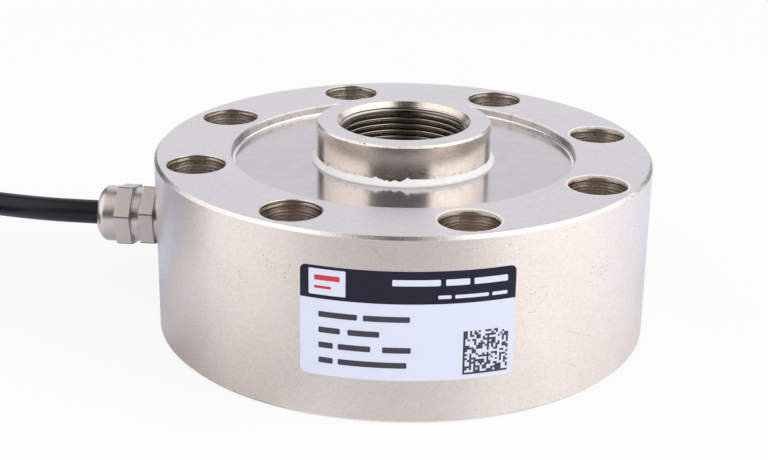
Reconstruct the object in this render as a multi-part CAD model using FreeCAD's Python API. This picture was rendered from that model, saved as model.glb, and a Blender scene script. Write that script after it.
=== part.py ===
"""Spoke type load cell: a one-piece spoke body with cover plates, gauges, cable gland and cable.

Millimetres. The origin is the centre of the base face, +Z is the load axis through the threaded
bore, and the cable gland leaves along -X.
"""
import FreeCAD, Part
import math
import os

from FreeCAD import Vector

# Spoke body, from the threaded bore outwards
THREAD_D = 39.0
HUB_WALL = 7.25
HUB_SHOULDER = 2.5
SPOKE_LENGTH = 20.25
COVER_LEDGE = 3.2
RIM_INNER_WALL = 2.8
BOLT_HOLE_D = 17.5
RIM_OUTER_WALL = 3.0

# Spoke body, heights
BODY_HEIGHT = 55.0
HUB_RISE = 9.3
HUB_FOOT_GAP = 1.5
RECESS_DEPTH = 2.9
SPOKE_HEIGHT = 30.0

# Spoke body, patterns and edges
BOLT_COUNT = 8
SPOKE_COUNT = 4
SPOKE_WIDTH = 22.0
WINDOW_CORNER = 4.0
GAUGE_POCKET_DEPTH = 4.0
GAUGE_POCKET_MARGIN = 2.2
RIM_CHAMFER = 0.9
HUB_CHAMFER = 0.6
HUB_FOOT_CHAMFER = 0.3
THREAD_FLARE = 1.0
THREAD_LEAD_IN = 1.7
BOLT_CHAMFER = 0.2
RECESS_EDGE = 0.25

# Cover plates and their sealant beads
COVER_THICKNESS = 1.0
COVER_HUB_CLEARANCE = 0.15
COVER_RIM_CLEARANCE = 0.1
COVER_LIP = 0.7
COVER_LIP_LAND = 0.2
BEAD_WIDTH = 1.3
BEAD_HEIGHT = 2.0
LOWER_BEAD_HEIGHT = 1.0
BEAD_CROWN = 0.25

# Gauges and wiring inside the covers
GAUGE_CLEARANCE = 1.5
GAUGE_THICKNESS = 0.2
BOARD_THICKNESS = 1.0
BOARD_EDGE = 2.5
TERMINAL_LENGTH = 10.0
TERMINAL_WIDTH = 6.0
RESISTOR_LENGTH = 3.2
RESISTOR_WIDTH = 1.6
RESISTOR_HEIGHT = 0.6
RESISTOR_COUNT = 3
RESISTOR_PITCH = 4.0
RESISTOR_OFFSET = 3.6
RIBBON_WIDTH = 1.6
RIBBON_THICKNESS = 0.4
RIBBON_STANDOFF = 1.0
RIBBON_OFFSET = -3.4
BRIDGE_WIDTH = 1.2
BRIDGE_THICKNESS = 0.4
BRIDGE_OFFSET = 0.8
BRIDGE_LAP = 1.5
CORE_PAD_OFFSET = 6.4
CORE_RISE_OFFSET = 5.0

# Cable gland, along its own axis
GLAND_HEIGHT = 28.75
GLAND_THREAD_D = 16.0
GLAND_THREAD_LENGTH = 9.0
GLAND_THREAD_CLEARANCE = 0.1
GLAND_HEX = 18.0
GLAND_HEX_LENGTH = 4.6
GLAND_HEX_TURN = 50.0
GLAND_SPIGOT_D = 14.0
GLAND_SPIGOT_LENGTH = 6.3
SPOT_FACE_DEPTH = 0.8
SPOT_FACE_CLEARANCE = 0.25
PORT_RUN_OUT = 1.5
WIRE_HOLE_D = 9.0
WASHER_THICKNESS = 2.35
WASHER_INSET = 0.35
NUT_HEX = 18.0
NUT_HEX_LENGTH = 5.1
NUT_HEX_TURN = 43.0
NUT_CORNER_CHAMFER = 0.3
NUT_SKIRT_D = 17.1
NUT_SKIRT_LENGTH = 2.6
NUT_GAP = 0.2
NUT_DOME_D = 17.7
NUT_DOME_LENGTH = 6.75
NUT_DOME_ROUND = 3.3
NUT_THREAD_CLEARANCE = 0.2
SEAL_LENGTH = 6.4
SEAL_WALL = 1.8
CLAW_WALL = 0.5
CLAW_SLOTS = 6
CLAW_SLOT = 1.2
CLAW_ROOT = 1.5
INSERT_CLEARANCE = 0.05
CABLE_CLEARANCE = 0.3

# Label on the side wall
LABEL_WIDTH = 60.0
LABEL_HEIGHT = 32.3
LABEL_BOTTOM = 13.2
LABEL_CORNER = 1.7
LABEL_THICKNESS = 0.12
LABEL_ANGLE = -82.5

# Cable, its coil and its stripped end
CABLE_D = 7.6
CABLE_STRIP_BACK = 2.5
CORE_D = 1.3
CORE_SPREAD = 1.3
CABLE_FIRST_BEND = (-116.0, 0.0)
CABLE_SECOND_BEND = (-145.0, 10.0)
COIL_RUN_IN = 50.0
COIL_MEAN_R = 41.0
COIL_COLUMNS = 3
COIL_LAYERS = 4
COIL_SLACK = 0.2
COIL_CORNER = 2.2
COIL_ENTRY_ANGLE = 65.0
COIL_ENTRY_LENGTH = 29.0
COIL_EXIT_ANGLE = 40.0
COIL_EXIT_LENGTH = 29.0
TIE_ANGLE = 250.0
TIE_WIDTH = 10.0
TIE_THICKNESS = 0.8
LEAD_STRAIGHT = 9.0
LEAD_LANDING = 22.0
LEAD_LENGTH = 34.0
LEAD_FAN = 3.0
LEAD_TIP_D = 0.7
LEAD_TIP_LENGTH = 6.0

# Derived sizes
THREAD_R = THREAD_D / 2
HUB_R = THREAD_R + HUB_WALL
HUB_ROOT_R = HUB_R + HUB_SHOULDER
CAVITY_R = HUB_ROOT_R + SPOKE_LENGTH
RECESS_R = CAVITY_R + COVER_LEDGE
BOLT_CIRCLE_R = RECESS_R + RIM_INNER_WALL + BOLT_HOLE_D / 2
BODY_R = BOLT_CIRCLE_R + BOLT_HOLE_D / 2 + RIM_OUTER_WALL
HUB_TOP = BODY_HEIGHT + HUB_RISE
COVER_TOP = BODY_HEIGHT - RECESS_DEPTH
LEDGE_TOP = COVER_TOP - COVER_THICKNESS
LEDGE_LOW = RECESS_DEPTH + COVER_THICKNESS
SPOKE_LOW = (BODY_HEIGHT - SPOKE_HEIGHT) / 2
SPOKE_TOP = SPOKE_LOW + SPOKE_HEIGHT
SPOKE_MID_R = HUB_ROOT_R + SPOKE_LENGTH / 2
GAUGE_POCKET_R = SPOKE_LENGTH / 2 - GAUGE_POCKET_MARGIN
WEB_HALF = SPOKE_WIDTH / 2 - GAUGE_POCKET_DEPTH
BOARD_TOP = SPOKE_TOP + BOARD_THICKNESS
CABLE_R = CABLE_D / 2
CORE_R = CORE_D / 2
SEAT_X = BODY_R - SPOT_FACE_DEPTH
HEX_START = SEAT_X + WASHER_THICKNESS
HEX_END = HEX_START + GLAND_HEX_LENGTH
NUT_START = HEX_END + NUT_GAP
NUT_HEX_START = NUT_START + NUT_SKIRT_LENGTH
NUT_HEX_END = NUT_HEX_START + NUT_HEX_LENGTH
NOSE = NUT_HEX_END + NUT_DOME_LENGTH
SEAL_R = CABLE_R + INSERT_CLEARANCE + SEAL_WALL
CLAW_R = SEAL_R + INSERT_CLEARANCE + CLAW_WALL
SOCKET_R = CLAW_R + INSERT_CLEARANCE
SEAL_START = HEX_END + GLAND_SPIGOT_LENGTH - SEAL_LENGTH + CLAW_ROOT
CABLE_START = SEAL_START - CABLE_STRIP_BACK
COIL_OUTER_TURN = COIL_MEAN_R + (COIL_COLUMNS - 1) / 2 * CABLE_D
COIL_OUTER = COIL_OUTER_TURN + CABLE_R + COIL_SLACK
COIL_INNER = COIL_MEAN_R - COIL_COLUMNS / 2 * CABLE_D - COIL_SLACK
COIL_HEIGHT = COIL_LAYERS * CABLE_D + COIL_SLACK
COIL_TOP_TURN = COIL_HEIGHT - COIL_SLACK - CABLE_R
COIL_LOW_TURN = CABLE_R + COIL_SLACK / 2

UP = Vector(0, 0, 1)
OUT = Vector(-1, 0, 0)


def polar(radius, degrees, z=0.0):
    """The point at this radius, angle and height."""
    angle = math.radians(degrees)
    return Vector(radius * math.cos(angle), radius * math.sin(angle), z)


def spoke_point(angle, offset, across, z):
    """A point by its place on a spoke: along it from its middle, across it, and its height."""
    return polar(SPOKE_MID_R + offset, angle, z) + polar(across, angle + 90)


def turned(shape, degrees):
    """A copy of the shape, turned about the load axis."""
    copy = shape.copy()
    copy.rotate(Vector(), UP, degrees)
    return copy


def along_gland(shape):
    """A copy of a shape built along +Z, laid along the gland's axis."""
    copy = shape.copy()
    copy.rotate(Vector(), Vector(0, 1, 0), -90)
    copy.translate(Vector(0, 0, GLAND_HEIGHT))
    return copy


def revolved(profile):
    """The ring that a closed (radius, height) outline sweeps about the load axis."""
    corners = [Vector(r, 0, z) for r, z in profile]
    face = Part.Face(Part.makePolygon(corners + corners[:1]))
    return face.revolve(Vector(), UP, 360)


def tube(r_in, r_out, low, high):
    """A plain ring between two radii and two heights."""
    return revolved([(r_in, low), (r_out, low), (r_out, high), (r_in, high)])


def slab(centre, size):
    """A block by its centre in X and Y, its underside and its size."""
    corner = Vector(centre.x - size[0] / 2, centre.y - size[1] / 2, centre.z)
    return Part.makeBox(size[0], size[1], size[2], corner)


def hexagon(across_flats, low, high, turn):
    """A hexagonal prism along +Z."""
    corner_r = across_flats / math.sqrt(3)
    corners = [polar(corner_r, turn + 60 * k, low) for k in range(6)]
    face = Part.Face(Part.makePolygon(corners + corners[:1]))
    return face.extrude(UP * (high - low))


def spoke_angles():
    """The spokes' directions: the first lies half a pitch from the +X axis."""
    return [(k + 0.5) * 360 / SPOKE_COUNT for k in range(SPOKE_COUNT)]


def turned_blank():
    """The body as it leaves the lathe: rim, web disc and hub."""
    profile = [
        (THREAD_R + THREAD_FLARE, HUB_FOOT_GAP),
        (HUB_R - HUB_FOOT_CHAMFER, HUB_FOOT_GAP),
        (HUB_R, HUB_FOOT_GAP + HUB_FOOT_CHAMFER),
        (HUB_R, LEDGE_LOW),
        (HUB_ROOT_R, LEDGE_LOW),
        (HUB_ROOT_R, SPOKE_LOW),
        (CAVITY_R, SPOKE_LOW),
        (CAVITY_R, LEDGE_LOW),
        (RECESS_R, LEDGE_LOW),
        (RECESS_R, RECESS_EDGE),
        (RECESS_R + RECESS_EDGE, 0),
        (BODY_R - RIM_CHAMFER, 0),
        (BODY_R, RIM_CHAMFER),
        (BODY_R, BODY_HEIGHT - RIM_CHAMFER),
        (BODY_R - RIM_CHAMFER, BODY_HEIGHT),
        (RECESS_R + RECESS_EDGE, BODY_HEIGHT),
        (RECESS_R, BODY_HEIGHT - RECESS_EDGE),
        (RECESS_R, LEDGE_TOP),
        (CAVITY_R, LEDGE_TOP),
        (CAVITY_R, SPOKE_TOP),
        (HUB_ROOT_R, SPOKE_TOP),
        (HUB_ROOT_R, LEDGE_TOP),
        (HUB_R, LEDGE_TOP),
        (HUB_R, HUB_TOP - HUB_CHAMFER),
        (HUB_R - HUB_CHAMFER, HUB_TOP),
        (THREAD_R + THREAD_FLARE, HUB_TOP),
        (THREAD_R, HUB_TOP - THREAD_LEAD_IN),
        (THREAD_R, HUB_FOOT_GAP + THREAD_LEAD_IN),
    ]
    return revolved(profile)


def spoke_windows():
    """The openings milled through the web disc, which leave the spokes standing."""
    ring = tube(HUB_ROOT_R, CAVITY_R, SPOKE_LOW, SPOKE_TOP)
    reach = 2 * CAVITY_R
    bars = []
    for angle in spoke_angles():
        bar = slab(Vector(reach / 2, 0, SPOKE_LOW), (reach, SPOKE_WIDTH, SPOKE_HEIGHT))
        bars.append(turned(bar, angle))
    windows = []
    for window in ring.cut(bars[0].multiFuse(bars[1:])).Solids:
        uprights = [e for e in window.Edges if abs(e.tangentAt(e.FirstParameter).z) > 0.99]
        windows.append(window.makeFillet(WINDOW_CORNER, uprights))
    return windows


def gauge_pockets():
    """The round blind pockets in both flanks of each spoke, which thin it to a shear web."""
    pockets = []
    depth = GAUGE_POCKET_DEPTH + WINDOW_CORNER
    for angle in spoke_angles():
        for side in (-1, 1):
            foot = Vector(SPOKE_MID_R, side * WEB_HALF, SPOKE_LOW + SPOKE_HEIGHT / 2)
            pocket = Part.makeCylinder(GAUGE_POCKET_R, depth, foot, Vector(0, side, 0))
            pockets.append(turned(pocket, angle))
    return pockets


def bolt_holes():
    """The clearance holes round the rim, countersunk at both faces."""
    hole_r = BOLT_HOLE_D / 2
    profile = [
        (0, 0),
        (hole_r + BOLT_CHAMFER, 0),
        (hole_r, BOLT_CHAMFER),
        (hole_r, BODY_HEIGHT - BOLT_CHAMFER),
        (hole_r + BOLT_CHAMFER, BODY_HEIGHT),
        (0, BODY_HEIGHT),
    ]
    hole = revolved(profile)
    hole.translate(Vector(BOLT_CIRCLE_R, 0, 0))
    pitch = 360 / BOLT_COUNT
    return [turned(hole, (k + 0.5) * pitch) for k in range(BOLT_COUNT)]


def gland_port():
    """The spot face, the tapped hole for the gland and the wire hole through the rim."""
    spot_r = GLAND_HEX / math.sqrt(3) + SPOT_FACE_CLEARANCE
    spot = Part.makeCylinder(spot_r, 2 * SPOT_FACE_DEPTH, Vector(0, 0, SEAT_X))
    tapped_depth = GLAND_THREAD_LENGTH - WASHER_THICKNESS + PORT_RUN_OUT
    tapped = Part.makeCylinder(GLAND_THREAD_D / 2, tapped_depth, Vector(0, 0, SEAT_X - tapped_depth))
    wires = Part.makeCylinder(WIRE_HOLE_D / 2, SEAT_X - SPOKE_MID_R, Vector(0, 0, SPOKE_MID_R))
    return along_gland(spot.multiFuse([tapped, wires]))


def spoke_body():
    """The one-piece element: rim, spokes and hub cut from one forging."""
    cutters = spoke_windows() + gauge_pockets() + bolt_holes() + [gland_port()]
    return turned_blank().cut(cutters)


def cover(face_z, way):
    """A thin annular plate on its ledges, with a rounded rim that turns outwards.

    face_z is the height of its outer face; way is +1 for the top plate, -1 for the bottom one.
    """
    inner = HUB_R + COVER_HUB_CLEARANCE
    outer = RECESS_R - COVER_RIM_CLEARANCE
    land = outer - COVER_LIP_LAND
    bend = COVER_LIP * (1 - math.sqrt(0.5))
    outline = [
        (land - COVER_LIP, face_z),
        (inner, face_z),
        (inner, face_z - way * COVER_THICKNESS),
        (outer, face_z - way * COVER_THICKNESS),
        (outer, face_z + way * COVER_LIP),
        (land, face_z + way * COVER_LIP),
    ]
    points = [Vector(r, 0, z) for r, z in outline]
    edges = [Part.LineSegment(points[k], points[k + 1]).toShape() for k in range(5)]
    edges.append(Part.Arc(points[5], Vector(land - bend, 0, face_z + way * bend), points[0]).toShape())
    return Part.Face(Part.Wire(edges)).revolve(Vector(), UP, 360)


def seal_bead(face_z, rise):
    """Sealant run round the hub on a cover's outer face.

    rise is how far it climbs the hub, negative on the underside.
    """
    toe = Vector(HUB_R + BEAD_WIDTH, 0, face_z)
    tip = Vector(HUB_R, 0, face_z + rise)
    heel = Vector(HUB_R, 0, face_z)
    lean = Vector(abs(rise), 0, math.copysign(BEAD_WIDTH, rise)).normalize()
    crown = (toe + tip) * 0.5 + lean * BEAD_CROWN
    edges = [
        Part.LineSegment(heel, toe).toShape(),
        Part.Arc(toe, crown, tip).toShape(),
        Part.LineSegment(tip, heel).toShape(),
    ]
    return Part.Face(Part.Wire(edges)).revolve(Vector(), UP, 360)


def strain_gauge(angle, side):
    """A square shear gauge bonded to the floor of one gauge pocket."""
    size = (GAUGE_POCKET_R - GAUGE_CLEARANCE) * math.sqrt(2)
    middle = side * (WEB_HALF + GAUGE_THICKNESS / 2)
    foot = Vector(SPOKE_MID_R, middle, SPOKE_LOW + (SPOKE_HEIGHT - size) / 2)
    return turned(slab(foot, (size, GAUGE_THICKNESS, size)), angle)


def strain_gauges():
    """Two gauges to a spoke, one on each flank, in order round the cell."""
    return [strain_gauge(angle, side) for angle in spoke_angles() for side in (-1, 1)]


def compensation_board(angle):
    """The bridge's balancing board, bonded to the top of one spoke."""
    size = (SPOKE_LENGTH - BOARD_EDGE, SPOKE_WIDTH - BOARD_EDGE, BOARD_THICKNESS)
    return turned(slab(Vector(SPOKE_MID_R, 0, SPOKE_TOP), size), angle)


def trim_resistors(angle):
    """The row of chip resistors on the balancing board."""
    chips = []
    for k in range(RESISTOR_COUNT):
        across = (k - (RESISTOR_COUNT - 1) / 2) * RESISTOR_PITCH
        place = Vector(SPOKE_MID_R + RESISTOR_OFFSET, across, BOARD_TOP)
        chips.append(turned(slab(place, (RESISTOR_LENGTH, RESISTOR_WIDTH, RESISTOR_HEIGHT)), angle))
    return Part.makeCompound(chips)


def solder_terminal(angle):
    """A solder terminal pad on the top of one spoke."""
    size = (TERMINAL_LENGTH, TERMINAL_WIDTH, BOARD_THICKNESS)
    return turned(slab(Vector(SPOKE_MID_R, 0, SPOKE_TOP), size), angle)


def gauge_ribbon(angle, side):
    """The flat lead of one gauge: out of its pocket, up the flank and over onto the terminal."""
    start = WEB_HALF + GAUGE_THICKNESS
    outer = SPOKE_WIDTH / 2 + RIBBON_STANDOFF
    inner = outer - RIBBON_THICKNESS
    lower = SPOKE_LOW + SPOKE_HEIGHT / 2
    land = TERMINAL_WIDTH / 2 - RIBBON_WIDTH
    top = BOARD_TOP + RIBBON_THICKNESS
    outline = [
        (start, lower),
        (outer, lower),
        (outer, top),
        (land, top),
        (land, BOARD_TOP),
        (inner, BOARD_TOP),
        (inner, lower + RIBBON_THICKNESS),
        (start, lower + RIBBON_THICKNESS),
    ]
    place = SPOKE_MID_R + RIBBON_OFFSET - RIBBON_WIDTH / 2
    corners = [Vector(place, side * across, z) for across, z in outline]
    face = Part.Face(Part.makePolygon(corners + corners[:1]))
    return turned(face.extrude(Vector(RIBBON_WIDTH, 0, 0)), angle)


def gauge_ribbons():
    """All the gauges' flat leads."""
    return Part.makeCompound([gauge_ribbon(angle, side) for angle in spoke_angles() for side in (-1, 1)])


def bridge_wires():
    """The flat links from spoke to spoke that join the gauges into one bridge."""
    middle = SPOKE_MID_R + BRIDGE_OFFSET
    lap = math.degrees((TERMINAL_WIDTH / 2 - BRIDGE_LAP) / middle)
    inner = middle - BRIDGE_WIDTH / 2
    outer = middle + BRIDGE_WIDTH / 2
    section = [Vector(r, 0, z) for z in (BOARD_TOP, BOARD_TOP + BRIDGE_THICKNESS) for r in (inner, outer)]
    corners = [section[0], section[1], section[3], section[2], section[0]]
    sweep = 360 / SPOKE_COUNT - 2 * lap
    link = Part.Face(Part.makePolygon(corners)).revolve(Vector(), UP, sweep)
    return Part.makeCompound([turned(link, angle + lap) for angle in spoke_angles()])


def gland_washer():
    """The plated sealing washer between the gland's hexagon and the spot face."""
    inner = GLAND_THREAD_D / 2
    return along_gland(tube(inner, GLAND_HEX / 2 - WASHER_INSET, SEAT_X, HEX_START))


def gland_body():
    """The gland's body: thread into the rim, hexagon and the spigot that takes the nut."""
    thread_r = GLAND_THREAD_D / 2 - GLAND_THREAD_CLEARANCE
    bore_r = CABLE_R + CABLE_CLEARANCE
    spigot_end = HEX_END + GLAND_SPIGOT_LENGTH
    profile = [
        (bore_r, HEX_START - GLAND_THREAD_LENGTH),
        (thread_r, HEX_START - GLAND_THREAD_LENGTH),
        (thread_r, HEX_START),
        (GLAND_SPIGOT_D / 2, HEX_START),
        (GLAND_SPIGOT_D / 2, spigot_end),
        (SOCKET_R, spigot_end),
        (SOCKET_R, SEAL_START),
        (bore_r, SEAL_START),
    ]
    hexagonal = hexagon(GLAND_HEX, HEX_START, HEX_END, GLAND_HEX_TURN)
    hexagonal = hexagonal.cut(Part.makeCylinder(bore_r, GLAND_HEX_LENGTH, Vector(0, 0, HEX_START)))
    return along_gland(revolved(profile).fuse(hexagonal).removeSplitter())


def gland_claw():
    """The slotted plastic cage that squeezes the seal."""
    end = SEAL_START + SEAL_LENGTH
    cage = tube(SEAL_R + INSERT_CLEARANCE, CLAW_R, SEAL_START, end)
    slots = []
    for k in range(CLAW_SLOTS):
        foot = Vector(CLAW_R / 2, 0, SEAL_START + CLAW_ROOT)
        slot = slab(foot, (2 * CLAW_R, CLAW_SLOT, SEAL_LENGTH))
        slot.translate(Vector(CLAW_R, 0, 0))
        slots.append(turned(slot, k * 360 / CLAW_SLOTS))
    return along_gland(cage.cut(slots))


def gland_seal():
    """The rubber bush round the cable."""
    return along_gland(tube(CABLE_R + INSERT_CLEARANCE, SEAL_R, SEAL_START, SEAL_START + SEAL_LENGTH))


def gland_nut():
    """The domed clamping nut: skirt, hexagon with chamfered corners and rounded nose."""
    dome_r = NUT_DOME_D / 2
    thread_r = GLAND_SPIGOT_D / 2 + NUT_THREAD_CLEARANCE
    hole_r = CABLE_R + CABLE_CLEARANCE
    cone_start = NUT_HEX_END
    round_start = NOSE - NUT_DOME_ROUND
    outline = [
        (thread_r, NUT_START),
        (NUT_SKIRT_D / 2, NUT_START),
        (NUT_SKIRT_D / 2, NUT_HEX_START),
        (dome_r, NUT_HEX_START),
        (dome_r, round_start),
        (hole_r, NOSE),
        (hole_r, cone_start + thread_r - hole_r),
        (thread_r, cone_start),
    ]
    points = [Vector(r, 0, z) for r, z in outline]
    crown = Part.Ellipse(points[4], points[5], Vector(hole_r, 0, round_start))
    edges = [Part.LineSegment(points[k], points[k + 1]).toShape() for k in range(4)]
    edges.append(Part.ArcOfEllipse(crown, 0, math.pi / 2).toShape())
    edges += [Part.LineSegment(points[k], points[k + 1]).toShape() for k in range(5, 7)]
    edges.append(Part.LineSegment(points[7], points[0]).toShape())
    round_part = Part.Face(Part.Wire(edges)).revolve(Vector(), UP, 360)
    corner_r = NUT_HEX / math.sqrt(3)
    envelope = revolved([
        (thread_r, NUT_HEX_START),
        (corner_r, NUT_HEX_START),
        (corner_r, NUT_HEX_END - NUT_CORNER_CHAMFER),
        (corner_r - NUT_CORNER_CHAMFER, NUT_HEX_END),
        (thread_r, NUT_HEX_END),
    ])
    prism = hexagon(NUT_HEX, NUT_HEX_START, NUT_HEX_END, NUT_HEX_TURN).common(envelope)
    return along_gland(round_part.fuse(prism).removeSplitter())


def label():
    """The sticker wrapped on the side wall, with rounded corners."""
    half = BODY_R * math.sin(LABEL_WIDTH / 2 / BODY_R)
    skin = tube(BODY_R, BODY_R + LABEL_THICKNESS, LABEL_BOTTOM, LABEL_BOTTOM + LABEL_HEIGHT)
    block = slab(Vector(BODY_R, 0, LABEL_BOTTOM), (BODY_R, 2 * half, LABEL_HEIGHT))
    corners = [e for e in block.Edges if abs(e.tangentAt(e.FirstParameter).x) > 0.99]
    return turned(skin.common(block.makeFillet(LABEL_CORNER, corners)), LABEL_ANGLE)


def rounded_route(points):
    """The edges of a route: straight runs joined by the largest tangent arcs that they allow.

    Returns the edges and the arcs' radii.
    """
    edges = []
    radii = []
    start = points[0]
    for before, corner, after in zip(points, points[1:], points[2:]):
        way_in = (corner - before).normalize()
        way_out = (after - corner).normalize()
        half_turn = way_in.getAngle(way_out) / 2
        cut_back = 0.45 * min((corner - before).Length, (after - corner).Length)
        radius = cut_back / math.tan(half_turn)
        inward = (way_out - way_in).normalize()
        crown = corner + inward * (radius / math.cos(half_turn) - radius)
        first = corner - way_in * cut_back
        last = corner + way_out * cut_back
        edges.append(Part.LineSegment(start, first).toShape())
        edges.append(Part.Arc(first, crown, last).toShape())
        radii.append(radius)
        start = last
    edges.append(Part.LineSegment(start, points[-1]).toShape())
    return edges, radii


def round_cord(points, radius):
    """A round cord along a route, with its arcs' radii."""
    edges, radii = rounded_route(points)
    path = Part.Wire(edges)
    section = Part.Wire(Part.makeCircle(radius, points[0], points[1] - points[0]))
    return path.makePipeShell([section], True, False), path.Length, radii


def coil_heading(angle):
    """The direction of travel round the coil at this angle."""
    return polar(1, angle + 90)


def coil_centre():
    """The coil's centre on the floor, where the cable runs straight onto the outermost turn."""
    turn_on = Vector(*CABLE_SECOND_BEND, 0) + coil_heading(COIL_ENTRY_ANGLE) * COIL_RUN_IN
    return turn_on - polar(COIL_OUTER_TURN, COIL_ENTRY_ANGLE)


def coil_point(angle, z):
    """A point on the outermost turn of the coil."""
    return coil_centre() + polar(COIL_OUTER_TURN, angle, z)


def cable():
    """The visible run of cable, from inside the gland to the coil."""
    turn_on = coil_point(COIL_ENTRY_ANGLE, COIL_TOP_TURN)
    route = [
        OUT * CABLE_START + UP * GLAND_HEIGHT,
        Vector(*CABLE_FIRST_BEND, GLAND_HEIGHT),
        Vector(*CABLE_SECOND_BEND, COIL_TOP_TURN),
        turn_on - coil_heading(COIL_ENTRY_ANGLE) * COIL_ENTRY_LENGTH,
    ]
    solid, length, radii = round_cord(route, CABLE_R)
    section = math.pi * CABLE_R ** 2
    print("cable length %.1f, volume ratio %.4f" % (length, solid.Volume / (section * length)))
    print("cable arc radii", ["%.1f" % r for r in radii])
    return solid


def coil_ring():
    """The wound turns as one ring with bevelled edges."""
    c = COIL_CORNER
    ring = revolved([
        (COIL_INNER + c, 0),
        (COIL_OUTER - c, 0),
        (COIL_OUTER, c),
        (COIL_OUTER, COIL_HEIGHT - c),
        (COIL_OUTER - c, COIL_HEIGHT),
        (COIL_INNER + c, COIL_HEIGHT),
        (COIL_INNER, COIL_HEIGHT - c),
        (COIL_INNER, c),
    ])
    ring.translate(coil_centre())
    return ring


def tie_blocks():
    """The outside and the inside of the tie's loop round the turns."""
    grip = TIE_THICKNESS
    across_hole = math.sqrt(COIL_INNER ** 2 - (TIE_WIDTH / 2) ** 2) - COIL_SLACK
    wide = COIL_OUTER - across_hole
    middle = Vector((COIL_OUTER + across_hole) / 2, 0, 0)
    blocks = []
    for inset in (0, grip):
        size = (wide - 2 * inset, TIE_WIDTH, COIL_HEIGHT - 2 * inset)
        block = slab(middle + UP * inset, size)
        edges = [e for e in block.Edges if abs(e.tangentAt(e.FirstParameter).y) > 0.99]
        block = turned(block.makeChamfer(COIL_CORNER, edges), TIE_ANGLE)
        block.translate(coil_centre())
        blocks.append(block)
    return blocks


def coil_tie():
    """The band that holds the turns together, drawn tight into them."""
    outside, inside = tie_blocks()
    return outside.cut(inside)


def cable_coil():
    """The rest of the cable, put away in a tied coil, with its two ends leaving it."""
    entry = coil_point(COIL_ENTRY_ANGLE, COIL_TOP_TURN)
    arriving = Part.makeCylinder(CABLE_R, COIL_ENTRY_LENGTH, entry, coil_heading(COIL_ENTRY_ANGLE) * -1)
    leave = coil_point(COIL_EXIT_ANGLE, COIL_LOW_TURN)
    leaving = Part.makeCylinder(CABLE_R, COIL_EXIT_LENGTH, leave, coil_heading(COIL_EXIT_ANGLE))
    return coil_ring().cut(coil_tie()).multiFuse([arriving, leaving]).removeSplitter()


def lead(across, height, fan):
    """One stripped core at the cable's free end: insulation and bare tip."""
    heading = coil_heading(COIL_EXIT_ANGLE)
    sideways = polar(1, COIL_EXIT_ANGLE)
    start = coil_point(COIL_EXIT_ANGLE, COIL_LOW_TURN) + heading * COIL_EXIT_LENGTH
    first = start + sideways * across * CORE_SPREAD + UP * height * CORE_SPREAD
    second = first + heading * LEAD_STRAIGHT
    outward = sideways * fan * LEAD_FAN
    landing = start + heading * LEAD_LANDING + outward
    last = start + heading * LEAD_LENGTH + outward * (LEAD_LENGTH / LEAD_LANDING)
    landing.z = CORE_R
    last.z = CORE_R
    insulation, _, _ = round_cord([first, second, landing, last], CORE_R)
    tip = Part.makeCylinder(LEAD_TIP_D / 2, LEAD_TIP_LENGTH, last, last - landing)
    return insulation.fuse(tip)


def cable_cores(angle):
    """The four cores inside the cell, from the jacket's end to the balancing board."""
    cores = []
    places = [(1, 1), (-1, 1), (1, -1), (-1, -1)]
    level_step = (LEDGE_TOP - BOARD_TOP) / (len(places) + 1)
    for index, (across, height) in enumerate(places):
        side = across * CORE_SPREAD
        level = GLAND_HEIGHT + height * CORE_SPREAD
        rise = -SPOKE_MID_R - CORE_RISE_OFFSET - height * CORE_SPREAD
        high = BOARD_TOP + (index + 1) * level_step
        pad = (2 * index + 1 - len(places)) * CORE_SPREAD
        points = [
            Vector(-CABLE_START, side, level),
            Vector(rise, side, level),
            Vector(rise, side, high),
            spoke_point(angle, CORE_PAD_OFFSET, pad, high),
            spoke_point(angle, CORE_PAD_OFFSET, pad, BOARD_TOP),
        ]
        section = Part.Wire(Part.makeCircle(CORE_R, points[0], Vector(1, 0, 0)))
        mitred = 1
        cores.append(Part.makePolygon(points).makePipeShell([section], True, False, mitred))
    return Part.makeCompound(cores)


def pieces():
    """Every piece of the load cell by name."""
    spokes = spoke_angles()
    named = {
        "spoke_body": spoke_body(),
        "top_cover": cover(COVER_TOP, 1),
        "bottom_cover": cover(RECESS_DEPTH, -1),
        "top_seal_bead": seal_bead(COVER_TOP, BEAD_HEIGHT),
        "bottom_seal_bead": seal_bead(RECESS_DEPTH, -LOWER_BEAD_HEIGHT),
        "compensation_board": compensation_board(spokes[1]),
        "trim_resistors": trim_resistors(spokes[1]),
        "gauge_ribbons": gauge_ribbons(),
        "bridge_wires": bridge_wires(),
        "cable_cores": cable_cores(spokes[1]),
        "gland_washer": gland_washer(),
        "gland_body": gland_body(),
        "gland_claw": gland_claw(),
        "gland_seal": gland_seal(),
        "gland_nut": gland_nut(),
        "side_label": label(),
        "cable": cable(),
        "cable_coil": cable_coil(),
        "coil_tie": coil_tie(),
        "lead_red": lead(1, 1, 1),
        "lead_black": lead(-1, 1, -1),
        "lead_green": lead(1, -1, 2),
        "lead_white": lead(-1, -1, -2),
        "lead_shield": lead(0, 0, 0),
    }
    for number, gauge in enumerate(strain_gauges(), 1):
        named["strain_gauge_%d" % number] = gauge
    for number, angle in enumerate([spokes[0]] + spokes[2:], 1):
        named["solder_terminal_%d" % number] = solder_terminal(angle)
    return named


os.makedirs("parts", exist_ok=True)
for name, shape in pieces().items():
    shape.exportStep("parts/%s.step" % name)
    print(name, "solids", len(shape.Solids), "valid", shape.isValid(), "volume %.1f" % shape.Volume)
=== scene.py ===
"""Visual model of a spoke type load cell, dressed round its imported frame.

Metres, in the frame's own axes: +Z is the load axis and the cable gland leaves along -X.
Sizes that are written in millimetres say so.
"""
import logging
import math
import random
from dataclasses import dataclass
from enum import Enum
from typing import Any, Callable, Iterable, Sequence

import bmesh
import bpy
from mathutils import Matrix, Vector


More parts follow.
